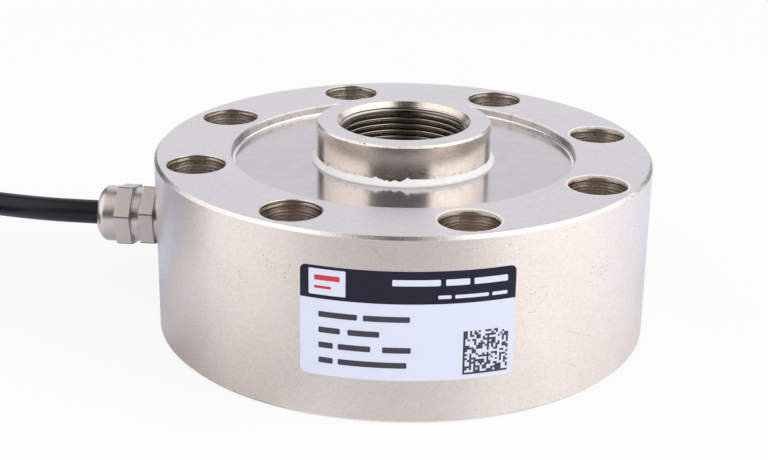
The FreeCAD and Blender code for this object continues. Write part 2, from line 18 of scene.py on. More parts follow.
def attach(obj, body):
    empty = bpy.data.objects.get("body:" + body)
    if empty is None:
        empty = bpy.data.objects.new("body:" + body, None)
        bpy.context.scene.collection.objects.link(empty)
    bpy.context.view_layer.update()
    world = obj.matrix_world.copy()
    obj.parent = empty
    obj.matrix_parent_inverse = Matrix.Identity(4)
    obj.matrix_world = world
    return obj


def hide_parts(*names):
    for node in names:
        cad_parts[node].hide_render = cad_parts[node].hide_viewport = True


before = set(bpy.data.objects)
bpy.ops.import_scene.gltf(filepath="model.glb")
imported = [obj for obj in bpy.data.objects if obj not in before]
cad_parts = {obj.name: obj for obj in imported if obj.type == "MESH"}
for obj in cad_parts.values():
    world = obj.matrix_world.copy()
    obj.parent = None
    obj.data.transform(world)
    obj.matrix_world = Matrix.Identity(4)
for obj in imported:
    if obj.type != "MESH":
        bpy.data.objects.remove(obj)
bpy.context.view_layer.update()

MM = 0.001
BODY = "root"
LOG = logging.getLogger("load_cell")

Colour = tuple[float, float, float]
Point = tuple[float, float, float]
Range = tuple[float, float]
Window = tuple[float, float, float]
Spot = tuple[float, float, float]
Edge = tuple[float, float, float, float]
Plate = tuple[float, float, float, float, float, float]
Shell = tuple[list[Vector], list[tuple[int, ...]]]
Socket = bpy.types.NodeSocket
WHITE: Colour = (1.0, 1.0, 1.0)


def polar(radius: float, degrees: float, z: float = 0.0) -> Vector:
    """The point at this radius, angle and height."""
    angle = math.radians(degrees)
    return Vector((radius * math.cos(angle), radius * math.sin(angle), z))


def metres(point: Iterable[float]) -> Vector:
    """A point in millimetres, in metres."""
    return Vector(point) * MM


class NodeSheet:
    """A node tree written in short lines: each method adds a node and returns what it puts out."""

    def __init__(self, tree: bpy.types.NodeTree) -> None:
        """Keep the tree to write on."""
        self.tree = tree

    def put(self, kind: str, inputs: dict[Any, Any] | None = None, **settings: Any) -> bpy.types.Node:
        """Add a node.

        Args:
            kind: the node's type.
            inputs: values or sockets by input name or index.
            settings: the node's own properties.

        Returns:
            The new node.
        """
        node = self.tree.nodes.new(kind)
        for key, value in settings.items():
            setattr(node, key, value)
        for key, value in (inputs or {}).items():
            self.feed(node.inputs[key], value)
        return node

    def feed(self, socket: Socket, value: Any) -> None:
        """Link a socket into an input, or set the input to a plain value."""
        if isinstance(value, bpy.types.NodeSocket):
            self.tree.links.new(value, socket)
        else:
            socket.default_value = value

    def math(self, operation: str, *terms: Any) -> Socket:
        """The result of a Math node on these terms."""
        node = self.put("ShaderNodeMath", operation=operation)
        for socket, term in zip(node.inputs, terms):
            self.feed(socket, term)
        return node.outputs[0]

    def total(self, *terms: Any) -> Socket:
        """The sum of the terms."""
        result = terms[0]
        for term in terms[1:]:
            result = self.math("ADD", result, term)
        return result

    def minus(self, first: Any, second: Any) -> Socket:
        """The first term less the second."""
        return self.math("SUBTRACT", first, second)

    def most(self, *terms: Any) -> Socket:
        """The largest of the terms."""
        result = terms[0]
        for term in terms[1:]:
            result = self.math("MAXIMUM", result, term)
        return result

    def product(self, *terms: Any) -> Socket:
        """The product of the terms."""
        result = terms[0]
        for term in terms[1:]:
            result = self.math("MULTIPLY", result, term)
        return result

    def rise(self, value: Any, low: Any, high: Any) -> Socket:
        """A smooth step from 0 at low to 1 at high; it falls where low is above high."""
        node = self.put(
            "ShaderNodeMapRange",
            {"Value": value, "From Min": low, "From Max": high},
            interpolation_type="SMOOTHSTEP",
        )
        return node.outputs[0]

    def beside(self, value: Any, line: float, fade: Range) -> Socket:
        """A smooth step close to a line: 0 at the fade's first distance from it, 1 at its second."""
        return self.rise(value, line + fade[0], line + fade[1])

    def window(self, value: Any, low: float, high: float, soft: float) -> Socket:
        """1 between low and high, 0 outside, with soft flanks."""
        return self.product(self.rise(value, low - soft, low), self.rise(value, high + soft, high))

    def mix(self, factor: Any, first: Any, second: Any) -> Socket:
        """A number between first and second."""
        node = self.put("ShaderNodeMix", data_type="FLOAT")
        for index, value in ((0, factor), (2, first), (3, second)):
            self.feed(node.inputs[index], value)
        return node.outputs[0]

    def tint(self, factor: Any, first: Any, second: Any) -> Socket:
        """A colour between first and second."""
        node = self.put("ShaderNodeMix", data_type="RGBA")
        for index, value in ((0, factor), (6, first), (7, second)):
            self.feed(node.inputs[index], (*value, 1.0) if isinstance(value, tuple) else value)
        return node.outputs[2]

    def split(self, vector: Socket) -> tuple[Socket, Socket, Socket]:
        """The three components of a vector."""
        node = self.put("ShaderNodeSeparateXYZ", {0: vector})
        return node.outputs[0], node.outputs[1], node.outputs[2]

    def join(self, x: Any, y: Any, z: Any) -> Socket:
        """A vector from three components."""
        return self.put("ShaderNodeCombineXYZ", {0: x, 1: y, 2: z}).outputs[0]

    def scaled(self, vector: Any, factors: Point) -> Socket:
        """A vector with each component multiplied."""
        return self.put("ShaderNodeVectorMath", {0: vector, 1: factors}, operation="MULTIPLY").outputs[0]

    def noise(self, place: Any, scale: Any, detail: float = 2.0, roughness: float = 0.55) -> Socket:
        """Smooth noise from 0 to 1."""
        inputs = {"Vector": place, "Scale": scale, "Detail": detail, "Roughness": roughness}
        return self.put("ShaderNodeTexNoise", inputs).outputs[0]

    def blotches(self, place: Any, scale: float, low: float, high: float) -> Socket:
        """Uneven patches: 0 where the noise is under low, 1 where it is over high."""
        return self.rise(self.noise(place, scale, 2.0), low, high)

    def object_mm(self) -> Socket:
        """The object's own coordinates in millimetres."""
        own = self.put("ShaderNodeTexCoord").outputs["Object"]
        return self.scaled(own, (1 / MM,) * 3)

    def dot(self, first: Any, second: Any) -> Socket:
        """The dot product of two vectors."""
        node = self.put("ShaderNodeVectorMath", {0: first, 1: second}, operation="DOT_PRODUCT")
        return node.outputs["Value"]

    def distance(self, first: Any, second: Any) -> Socket:
        """The distance between two points."""
        node = self.put("ShaderNodeVectorMath", {0: first, 1: second}, operation="DISTANCE")
        return node.outputs["Value"]

    def length(self, x: Any, y: Any) -> Socket:
        """The length of a flat vector."""
        return self.math("SQRT", self.total(self.product(x, x), self.product(y, y)))

    def bump(self, height_mm: Socket) -> Socket:
        """A normal from a height in millimetres."""
        return self.put("ShaderNodeBump", {"Height": height_mm, "Distance": MM, "Strength": 1.0}).outputs[0]


class Effect(Enum):
    """The surface effects that several finishes share."""

    GRAIN = "fine_grain"
    PITS = "sparse_pits"
    SCRATCHES = "hair_scratches"
    TURNING = "turning_lines"


class EffectShop:
    """Builds each shared shader group once, and places it in the finishes."""

    def __init__(self) -> None:
        """Start with no group built."""
        self.trees: dict[Effect, bpy.types.NodeTree] = {}
        self.makers: dict[Effect, Callable[[], bpy.types.NodeTree]] = {
            Effect.GRAIN: self.grain,
            Effect.PITS: self.pits,
            Effect.SCRATCHES: self.scratches,
            Effect.TURNING: self.turning,
        }

    def place(self, sheet: NodeSheet, effect: Effect, inputs: dict[str, Any]) -> Socket:
        """Put an effect into a finish.

        Args:
            sheet: the finish's node tree.
            effect: which effect.
            inputs: its named inputs.

        Returns:
            The effect's mask or height.
        """
        if effect not in self.trees:
            self.trees[effect] = self.makers[effect]()
        node = sheet.put("ShaderNodeGroup", node_tree=self.trees[effect])
        for name, value in inputs.items():
            sheet.feed(node.inputs[name], value)
        return node.outputs[0]

    def start(self, effect: Effect, inputs: Sequence[str]) -> tuple[NodeSheet, bpy.types.Node]:
        """Open a group with a place, some numbers and one result.

        Args:
            effect: the effect that the group makes.
            inputs: the names of its numbers.

        Returns:
            The group's sheet and its input node.
        """
        tree = bpy.data.node_groups.new(effect.value, "ShaderNodeTree")
        tree.interface.new_socket("Place", in_out="INPUT", socket_type="NodeSocketVector")
        for name in inputs:
            tree.interface.new_socket(name, in_out="INPUT", socket_type="NodeSocketFloat")
        tree.interface.new_socket("Result", in_out="OUTPUT", socket_type="NodeSocketFloat")
        sheet = NodeSheet(tree)
        return sheet, sheet.put("NodeGroupInput")

    def close(self, sheet: NodeSheet, result: Socket) -> bpy.types.NodeTree:
        """Lead the result out of a group and hand the group back."""
        sheet.put("NodeGroupOutput", {"Result": result})
        return sheet.tree

    def grain(self) -> bpy.types.NodeTree:
        """Two sizes of mottling, as plating and moulding leave it."""
        sheet, given = self.start(Effect.GRAIN, ["Scale"])
        place, scale = given.outputs["Place"], given.outputs["Scale"]
        coarse = sheet.noise(place, scale, 3.0)
        fine = sheet.noise(place, sheet.product(scale, 4.7), 2.0)
        return self.close(sheet, sheet.mix(0.4, coarse, fine))

    def pits(self) -> bpy.types.NodeTree:
        """Scattered small round pits on the place's first two axes; Share of the cells have one."""
        sheet, given = self.start(Effect.PITS, ["Scale", "Share", "Size"])
        inputs = {"Vector": given.outputs["Place"], "Scale": given.outputs["Scale"]}
        cells = sheet.put("ShaderNodeTexVoronoi", inputs, voronoi_dimensions="2D")
        chance, width, _ = sheet.split(cells.outputs["Color"])
        kept = sheet.math("LESS_THAN", chance, given.outputs["Share"])
        reach = sheet.product(given.outputs["Size"], sheet.total(width, 0.35))
        depth = sheet.rise(cells.outputs["Distance"], reach, sheet.product(reach, 0.45))
        return self.close(sheet, sheet.product(kept, depth))

    def scratches(self) -> bpy.types.NodeTree:
        """Long thin lines along the place's first axis, broken into lengths; Share is how many show."""
        sheet, given = self.start(Effect.SCRATCHES, ["Scale", "Share"])
        place, scale = given.outputs["Place"], given.outputs["Scale"]
        drawn = sheet.noise(sheet.scaled(place, (0.035, 1.0, 1.0)), scale, 1.0)
        line = sheet.rise(sheet.math("ABSOLUTE", sheet.minus(drawn, 0.5)), 0.008, 0.0)
        lengths = sheet.noise(sheet.scaled(place, (0.12, 0.9, 0.9)), sheet.product(scale, 0.8), 0.0)
        limit = sheet.minus(1.0, given.outputs["Share"])
        return self.close(sheet, sheet.product(line, sheet.rise(lengths, limit, sheet.total(limit, 0.06))))

    def turning(self) -> bpy.types.NodeTree:
        """Uneven tool lines across Along, a Pitch apart, wavering a little with the place."""
        sheet, given = self.start(Effect.TURNING, ["Along", "Pitch"])
        waver = sheet.noise(given.outputs["Place"], 0.12, 1.0)
        along = sheet.math("DIVIDE", given.outputs["Along"], given.outputs["Pitch"])
        across = sheet.total(along, sheet.product(waver, 1.6))
        inputs = {"W": across, "Scale": 1.0, "Detail": 3.0, "Roughness": 0.7}
        lines = sheet.put("ShaderNodeTexNoise", inputs, noise_dimensions="1D")
        return self.close(sheet, lines.outputs[0])


SHOP = EffectShop()


def blank_material(name: str) -> tuple[bpy.types.Material, NodeSheet, bpy.types.Node]:
    """A new material.

    Args:
        name: the finish's name.

    Returns:
        The material, its sheet and its shader node.
    """
    material = bpy.data.materials.new(name)
    material.use_nodes = True
    return material, NodeSheet(material.node_tree), material.node_tree.nodes["Principled BSDF"]


@dataclass(frozen=True)
class BodyZones:
    """Where the spoke body's surfaces lie and how far their masks fade, in millimetres.

    The last value is no length: it is how much of a flat face's mask rules a point out.
    """

    radius: float = 76.0
    height: float = 55.0
    chamfer: float = 0.9
    bolt_circle: float = 64.25
    bolt_hole: float = 8.75
    bolt_count: int = 8
    bolt_chamfer: float = 0.2
    recess: float = 52.7
    hub: float = 26.75
    hub_top: float = 64.3
    hub_chamfer: float = 0.6
    bore: float = 19.5
    mouth: float = 20.5
    bead_top: float = 54.1
    cover_top: float = 52.1
    chamfer_fade: Range = (0.12, 0.04)
    round_fade: Range = (0.12, 0.05)
    bore_fade: Range = (0.06, 0.02)
    face_fade: Range = (-0.03, -0.01)
    hub_fade: Range = (-0.15, -0.05)
    proud_fade: Range = (-0.2, -0.1)
    wall_fade: Range = (-0.3, -0.1)
    mouth_fade: Range = (0.04, 0.0)
    mouth_depth_fade: Range = (-0.06, 0.0)
    recess_edge_fade: Range = (0.01, 0.04)
    recess_band: Window = (-0.05, 0.25, 0.05)
    off_face: Range = (1.0, 0.5)


class BodyMap:
    """Where a point of the spoke body lies: its place, and a mask for each kind of surface."""

    def __init__(self, sheet: NodeSheet, zones: BodyZones) -> None:
        """Write the masks on a finish's sheet.

        Args:
            sheet: the finish's node tree.
            zones: where the surfaces lie.
        """
        half = zones.height / 2
        self.place = sheet.object_mm()
        self.x, self.y, self.z = sheet.split(self.place)
        self.radius = sheet.length(self.x, self.y)
        self.level = sheet.math("ABSOLUTE", sheet.minus(self.z, half))
        angle = sheet.math("ARCTAN2", self.y, self.x)
        self.unrolled = sheet.join(sheet.product(angle, self.radius), self.z, 0.0)
        self.hole = self.from_hole(sheet, zones, angle)

        # The turned hub, its edge and the countersink
        rim_gap = sheet.minus(zones.radius + half - zones.chamfer, sheet.total(self.radius, self.level))
        hub_reach = zones.hub + zones.hub_top - zones.hub_chamfer
        self.hub_gap = sheet.minus(hub_reach, sheet.total(self.radius, self.z))
        self.on_hub = sheet.beside(self.radius, zones.hub, zones.round_fade)
        self.proud = sheet.beside(self.z, zones.cover_top, zones.proud_fade)
        self.hub_edge = sheet.product(self.on_hub, self.proud, sheet.rise(self.hub_gap, *zones.chamfer_fade))
        outside = sheet.beside(self.radius, zones.hub, zones.hub_fade)
        self.hub_side = sheet.product(self.on_hub, self.proud, outside)
        self.hub_end = sheet.beside(self.z, zones.hub_top, zones.face_fade)
        flared = sheet.beside(self.radius, zones.mouth, zones.round_fade)
        self.mouth = sheet.product(flared, self.proud, sheet.rise(self.hub_end, *zones.off_face))
        self.in_bore = sheet.beside(self.radius, zones.bore, zones.bore_fade)

        # The rim, its holes and the recess
        self.rim_edge = sheet.rise(rim_gap, *zones.chamfer_fade)
        self.on_wall = sheet.beside(self.radius, zones.radius, zones.wall_fade)
        self.in_hole = sheet.beside(self.hole, zones.bolt_hole, zones.bore_fade)
        hole_mouth = sheet.product(
            sheet.beside(self.hole, zones.bolt_hole + zones.bolt_chamfer, zones.mouth_fade),
            sheet.beside(self.level, half - zones.bolt_chamfer, zones.mouth_depth_fade),
        )
        hole_edge = sheet.product(hole_mouth, sheet.rise(self.in_hole, 1.0, 0.6))
        flat_end = sheet.beside(self.level, half, zones.face_fade)
        self.faces = sheet.most(flat_end, self.hub_end)
        inner, outer, soft = zones.recess_band
        self.recess_band = sheet.window(self.radius, zones.recess + inner, zones.recess + outer, soft)
        off_face = sheet.rise(flat_end, *zones.off_face)
        self.recess_wall = sheet.product(self.recess_band, self.proud, off_face)
        recess_lip = sheet.beside(self.radius, zones.recess, zones.recess_edge_fade)
        recess_edge = sheet.product(self.recess_wall, recess_lip)
        self.edges = sheet.most(self.rim_edge, self.hub_edge, hole_edge, recess_edge)

    def from_hole(self, sheet: NodeSheet, zones: BodyZones, angle: Socket) -> Socket:
        """How far a point lies from the nearest bolt hole's axis.

        Args:
            sheet: the finish's node tree.
            zones: where the surfaces lie.
            angle: the point's angle round the load axis, in radians.

        Returns:
            The distance in millimetres.
        """
        pitch = 2 * math.pi / zones.bolt_count
        turn = sheet.minus(sheet.math("WRAP", angle, pitch, 0.0), pitch / 2)
        along = sheet.minus(sheet.product(self.radius, sheet.math("COSINE", turn)), zones.bolt_circle)
        return sheet.length(along, sheet.product(self.radius, sheet.math("SINE", turn)))


class BodyTexture:
    """Texture that the surfaces of the spoke body share out."""

    def __init__(self, sheet: NodeSheet, body: BodyMap) -> None:
        """Write the texture on a finish's sheet.

        Args:
            sheet: the finish's node tree.
            body: the body's masks.
        """
        place = body.place
        self.grain = SHOP.place(sheet, Effect.GRAIN, {"Place": place, "Scale": 0.55})
        self.specks = SHOP.place(sheet, Effect.GRAIN, {"Place": place, "Scale": 1.5})
        sparse = {"Place": body.unrolled, "Scale": 0.72, "Share": 0.5, "Size": 0.15}
        self.pits = SHOP.place(sheet, Effect.PITS, sparse)
        dense = {"Place": body.unrolled, "Scale": 1.5, "Share": 0.30, "Size": 0.24}
        self.peppered = SHOP.place(sheet, Effect.PITS, dense)
        self.patches = sheet.rise(sheet.noise(place, 0.09, 1.0), 0.50, 0.68)
        self.clouds = sheet.minus(sheet.noise(place, 0.045, 3.0), 0.5)
        self.tool = SHOP.place(sheet, Effect.TURNING, {"Place": place, "Along": body.z, "Pitch": 0.75})
        self.rings = SHOP.place(sheet, Effect.TURNING, {"Place": place, "Along": body.radius, "Pitch": 0.3})
        self.crumbs = sheet.noise(place, 2.6, 3.0, 0.7)


@dataclass(frozen=True)
class PlatedSteel:
    """Satin nickel plate on turned steel: wall, faces, hub, bolt holes and worn edges each in their tone,
    with painted highlights at some edges.

    Scratches, clusters and worn spots are in millimetres: round the turned side, up it, and a spot's reach.
    """

    zones: BodyZones = BodyZones()
    wall: Colour = (0.92, 0.845, 0.825)
    face: Colour = (0.76, 0.725, 0.745)
    hub: Colour = (0.88, 0.81, 0.735)
    recess: Colour = (0.60, 0.57, 0.55)
    hole: Colour = (0.70, 0.62, 0.545)
    bore: Colour = (0.30, 0.27, 0.24)
    # Painted shade: the bore's wall takes a dark tone for the shade inside the bore.
    mouth: Colour = (0.80, 0.735, 0.655)
    edge: Colour = (0.93, 0.90, 0.85)
    pit: Colour = (0.22, 0.19, 0.17)
    wall_rough: float = 0.43
    face_rough: float = 0.29
    hub_rough: float = 0.165
    recess_rough: float = 0.3
    mouth_rough: float = 0.26
    hole_rough: float = 0.28
    edge_rough: float = 0.24
    edge_share: float = 0.7
    brushed: float = 0.75
    scratches: tuple[tuple[Range, Range], ...] = (
        ((-119.9, 52.9), (-115.3, 47.7)),
        ((-61.6, 21.9), (-50.5, 17.1)),
        ((-63.3, 13.1), (-56.3, 9.5)),
    )
    clusters: tuple[Spot, ...] = (
        (-149.5, 44.4, 6.5),
        (-144.2, 42.4, 4.5),
        (-166.0, 35.4, 5.0),
        (-159.0, 36.1, 5.0),
        (-82.8, 50.0, 6.0),
        (-74.0, 53.2, 3.5),
        (-62.3, 51.4, 3.5),
        (-48.7, 36.9, 9.0),
        (-71.6, 33.5, 8.0),
        (-27.7, 43.0, 4.0),
    )
    worn_hub: tuple[Spot, ...] = ((-28.2, 59.7, 4.5), (-44.0, 58.0, 6.0), (-38.0, 59.0, 5.0))
    # Where the painted highlights lie: how deep they reach into the hole mouths and down the recess lip.
    painted_glint: float = 0.8
    glint_fade: Range = (0.45, 0.22)
    lip: float = 0.45
    depth_fade: Range = (-0.1, 0.0)

    def material(self) -> bpy.types.Material:
        """Write the finish.

        Returns:
            The body's material.
        """
        material, sheet, shader = blank_material("satin_nickel")
        body = BodyMap(sheet, self.zones)
        texture = BodyTexture(sheet, body)
        grain, clouds = texture.grain, texture.clouds
        wall_pits, hub_pits = self.pitting(sheet, body, texture)
        drawn = [self.scratch(sheet, body.unrolled, *ends) for ends in self.scratches]
        lines = sheet.product(body.on_wall, sheet.total(*drawn))
        # Painted highlights at some edges, in the edge tone and not metal.
        painted_glint = self.painted_highlights(sheet, body, texture.crumbs)
        marks = self.marks(sheet, body, texture)
        for mask, share in ((wall_pits, 0.7), (hub_pits, 0.9), (lines, 0.2)):
            marks = sheet.most(marks, sheet.product(mask, share))

        colour = sheet.tint(body.faces, self.wall, self.face)
        for mask, tone in (
            (body.hub_side, self.hub),
            (body.recess_wall, self.recess),
            (body.in_hole, self.hole),
            (body.mouth, self.mouth),
            (body.in_bore, self.bore),
            (sheet.most(sheet.product(body.edges, self.edge_share), painted_glint), self.edge),
        ):
            colour = sheet.tint(mask, colour, tone)
        streaks = sheet.product(body.in_hole, sheet.minus(texture.tool, 0.5))
        mottling = ((grain, 0.16), (clouds, 0.14), (texture.specks, 0.50), (streaks, 1.9))
        value = sheet.total(*[sheet.product(mask, share) for mask, share in mottling], 0.67)
        mottled = sheet.put("ShaderNodeHueSaturation", {"Color": colour, "Value": value}).outputs[0]
        sheet.feed(shader.inputs["Base Color"], sheet.tint(marks, mottled, self.pit))

        rough = sheet.mix(body.faces, self.wall_rough, self.face_rough)
        for mask, level in (
            (body.hub_side, self.hub_rough),
            (body.recess_wall, self.recess_rough),
            (body.mouth, self.mouth_rough),
            (body.in_hole, self.hole_rough),
            (body.edges, self.edge_rough),
        ):
            rough = sheet.mix(mask, rough, level)
        uneven = sheet.total(sheet.product(sheet.minus(grain, 0.5), 0.14), sheet.product(clouds, 0.10))
        sheet.feed(shader.inputs["Roughness"], sheet.total(rough, uneven))

        height = sheet.total(
            sheet.product(grain, 0.012),
            sheet.product(texture.specks, 0.012),
            sheet.product(wall_pits, -0.05),
            sheet.product(hub_pits, -0.05),
            sheet.product(lines, -0.012),
            sheet.product(texture.tool, body.in_hole, sheet.mix(painted_glint, 0.17, 0.0)),
            sheet.product(texture.tool, body.mouth, 0.03),
            sheet.product(texture.rings, body.faces, 0.0015),
            sheet.product(texture.crumbs, body.edges, 0.045),
        )
        sheet.feed(shader.inputs["Normal"], sheet.bump(height))
        # The painted highlights are not metal, so the lamps light them white.
        sheet.feed(shader.inputs["Metallic"], sheet.mix(painted_glint, 1.0, 0.0))
        plain = sheet.most(body.faces, body.edges, body.recess_wall)
        self.turned_sheen(sheet, shader, body.place, plain)
        return material

    def pitting(self, sheet: NodeSheet, body: BodyMap, texture: BodyTexture) -> tuple[Socket, Socket]:
        """The pits in the plating, thickest at the clusters and the hub's worn spots.

        Args:
            sheet: the finish's node tree.
            body: the body's masks.
            texture: the body's texture.

        Returns:
            The masks of the wall's pits and of the hub's.
        """
        patches = texture.patches
        dotted = self.gathered(sheet, body.unrolled, self.clusters)
        dotted = sheet.math("MINIMUM", sheet.total(sheet.product(patches, 0.30), dotted), 1.0)
        worn = self.gathered(sheet, body.unrolled, self.worn_hub)
        worn = sheet.math("MINIMUM", sheet.total(sheet.mix(patches, 0.45, 1.0), worn), 1.0)
        on_wall = sheet.product(body.on_wall, texture.pits, dotted)
        return on_wall, sheet.product(body.hub_side, texture.peppered, worn)

    def marks(self, sheet: NodeSheet, body: BodyMap, texture: BodyTexture) -> Socket:
        """Dark specks on the wall, chips and smears on the hub, scuffs in the recess and nicks in the rim.

        Args:
            sheet: the finish's node tree.
            body: the body's masks.
            texture: the body's texture.

        Returns:
            How dark each point is marked.
        """
        foot = self.zones.bead_top
        specks = sheet.product(texture.peppered, body.on_wall, sheet.mix(texture.patches, 0.13, 0.32))
        chips = sheet.product(
            body.on_hub,
            body.proud,
            sheet.rise(body.hub_gap, 0.55, 0.15),
            sheet.blotches(body.place, 0.42, 0.58, 0.64),
            sheet.rise(body.hub_end, *self.zones.off_face),
        )
        low_hub = sheet.product(body.hub_side, sheet.rise(body.z, foot + 1.4, foot + 0.2))
        smear = sheet.product(low_hub, sheet.blotches(body.place, 0.55, 0.48, 0.62))
        scuffs = sheet.product(body.recess_wall, sheet.blotches(body.place, 0.34, 0.54, 0.64))
        rim_ends = sheet.rise(sheet.math("ABSOLUTE", body.x), 62.0, 72.0)
        nicks = sheet.product(body.rim_edge, rim_ends, sheet.blotches(body.place, 1.1, 0.47, 0.55))
        shares = ((chips, 0.85), (smear, 0.45), (scuffs, 0.32), (nicks, 0.4))
        return sheet.most(specks, *[sheet.product(mask, share) for mask, share in shares])

    def painted_highlights(self, sheet: NodeSheet, body: BodyMap, crumbs: Socket) -> Socket:
        """Painted highlights in a white, non-metal tone at some holes' mouths, on the recess's far lip and on
        the hub's front edge.

        Args:
            sheet: the finish's node tree.
            body: the body's masks.
            crumbs: fine uneven noise.

        Returns:
            The mask of the painted highlights.
        """
        zones = self.zones
        painted_glint = sheet.product(
            sheet.beside(body.hole, zones.bolt_hole + zones.bolt_chamfer, self.glint_fade),
            sheet.beside(body.level, zones.height / 2 - self.painted_glint, self.depth_fade),
            sheet.product(sheet.rise(body.x, 5.0, 20.0), sheet.rise(body.y, 45.0, 35.0)),
            sheet.rise(crumbs, 0.30, 0.42),
        )
        lip = sheet.product(
            body.recess_band,
            sheet.beside(body.z, zones.height - self.lip, self.depth_fade),
            sheet.rise(body.y, 12.0, 24.0),
            sheet.rise(crumbs, 0.26, 0.38),
        )
        # Painted highlight along the hub's front edge.
        front_edge_glint = sheet.product(body.hub_edge, sheet.rise(body.y, -8.0, -20.0), 0.7)
        return sheet.most(painted_glint, lip, front_edge_glint)

    def gathered(self, sheet: NodeSheet, unrolled: Socket, spots: Sequence[Spot]) -> Socket:
        """A mask that is highest at some spots.

        Args:
            sheet: the finish's node tree.
            unrolled: the place on the unrolled side.
            spots: each spot's place round the side, its height and its reach.

        Returns:
            The mask.
        """
        masks = []
        for around, level, reach in spots:
            away = sheet.distance(unrolled, (around, level, 0.0))
            masks.append(sheet.rise(away, reach, reach * 0.3))
        return sheet.total(*masks)

    def scratch(self, sheet: NodeSheet, unrolled: Socket, start: Range, end: Range) -> Socket:
        """A thin straight scratch.

        Args:
            sheet: the finish's node tree.
            unrolled: the place on the unrolled wall.
            start, end: where it starts and ends, round the wall and up it.

        Returns:
            Its mask.
        """
        way = Vector(end) - Vector(start)
        reach = way.length
        way.normalize()
        ends = {0: unrolled, 1: (*start, 0.0)}
        offset = sheet.put("ShaderNodeVectorMath", ends, operation="SUBTRACT").outputs[0]
        along = sheet.dot(offset, (way.x, way.y, 0.0))
        aside = sheet.math("ABSOLUTE", sheet.dot(offset, (-way.y, way.x, 0.0)))
        return sheet.product(sheet.rise(aside, 0.18, 0.04), sheet.window(along, 0.8, reach - 0.8, 0.8))

    def turned_sheen(self, sheet: NodeSheet, shader: bpy.types.Node, place: Socket, plain: Socket) -> None:
        """Spread the reflections across the lathe's lines, but not on plain surfaces."""
        around = sheet.put("ShaderNodeVectorMath", {0: (0.0, 0.0, 1.0), 1: place}, operation="CROSS_PRODUCT")
        tangent = sheet.put("ShaderNodeVectorMath", {0: around.outputs[0]}, operation="NORMALIZE").outputs[0]
        sheet.feed(shader.inputs["Tangent"], tangent)
        sheet.feed(shader.inputs["Anisotropic"], sheet.mix(plain, self.brushed, 0.0))
        shader.inputs["Anisotropic Rotation"].default_value = 0.25


@dataclass(frozen=True)
class PolishedMetal:
    """Smooth metal with faint grain, tool lines and scuffs; where asked, painted bands of highlight and shade
    by radius, and painted shade along corners and ends.
    """

    name: str
    colour: Colour
    roughness: float
    grain_scale: float = 0.5
    grain_depth: float = 0.004
    line_pitch: float = 0.3
    line_depth: float = 0.0
    scuffs: float = 0.25
    pit_share: float = 0.1
    mottle: float = 0.08
    metallic: float = 1.0
    # Tones by radius, each a painted highlight or painted shade.
    painted_bands: tuple[tuple[float, Colour], ...] = ()
    # corner_from, axis_height, ends and their fades place painted shade: dark lines along the hex corners and
    # at the hex ends.
    corner_from: float = 0.0
    axis_height: float = 0.0
    ends: tuple[float, ...] = ()
    pit_scale: float = 0.6
    pit_size: float = 0.12
    scuff_scale: float = 0.3
    band_fade: float = 0.12
    corner_fade: float = 0.06
    end_line: Window = (-0.22, 0.05, 0.08)
    end_reach: Range = (8.7, 8.9)
    dark: float = 0.3

    def material(self) -> bpy.types.Material:
        """Write the finish.

        Returns:
            The metal's material.
        """
        material, sheet, shader = blank_material(self.name)
        place = sheet.object_mm()
        x, y, z = sheet.split(place)
        grain = SHOP.place(sheet, Effect.GRAIN, {"Place": place, "Scale": self.grain_scale})
        pitted = {"Place": place, "Scale": self.pit_scale, "Share": self.pit_share, "Size": self.pit_size}
        pits = SHOP.place(sheet, Effect.PITS, pitted)
        scuffed = {"Place": place, "Scale": self.scuff_scale, "Share": self.scuffs}
        lines = SHOP.place(sheet, Effect.SCRATCHES, scuffed)
        radius = sheet.length(x, y)
        turned = {"Place": place, "Along": radius, "Pitch": self.line_pitch}
        rings = SHOP.place(sheet, Effect.TURNING, turned)
        colour: Any = self.colour
        # Painted highlight and painted shade in bands by radius.
        for reach, tone in self.painted_bands:
            colour = sheet.tint(sheet.rise(radius, reach, reach + self.band_fade), colour, tone)
        value = sheet.total(sheet.product(grain, self.mottle), 1.0 - self.mottle / 2)
        mottled = {"Color": colour if self.painted_bands else (*self.colour, 1.0), "Value": value}
        toned = sheet.put("ShaderNodeHueSaturation", mottled).outputs[0]
        dark = tuple(self.dark * part for part in self.colour)
        worn = sheet.product(pits, 0.5)
        # Painted shade along the hex corners and at the hex ends, together with the real pits.
        if self.corner_from:
            reach = sheet.length(y, sheet.minus(z, self.axis_height))
            corner = sheet.rise(reach, self.corner_from, self.corner_from + self.corner_fade)
            worn = sheet.most(worn, sheet.product(corner, 0.9))
            before, after, soft = self.end_line
            for end in self.ends:
                line = sheet.window(x, end + before, end + after, soft)
                worn = sheet.most(worn, sheet.product(line, sheet.rise(reach, *self.end_reach), 0.85))
        sheet.feed(shader.inputs["Base Color"], sheet.tint(worn, toned, dark))
        rough = sheet.total(self.roughness - 0.03, sheet.product(grain, 0.06), sheet.product(lines, 0.08))
        sheet.feed(shader.inputs["Roughness"], rough)
        height = sheet.total(
            sheet.product(grain, self.grain_depth),
            sheet.product(pits, -0.02),
            sheet.product(rings, self.line_depth),
        )
        sheet.feed(shader.inputs["Normal"], sheet.bump(height))
        shader.inputs["Metallic"].default_value = self.metallic
        return material


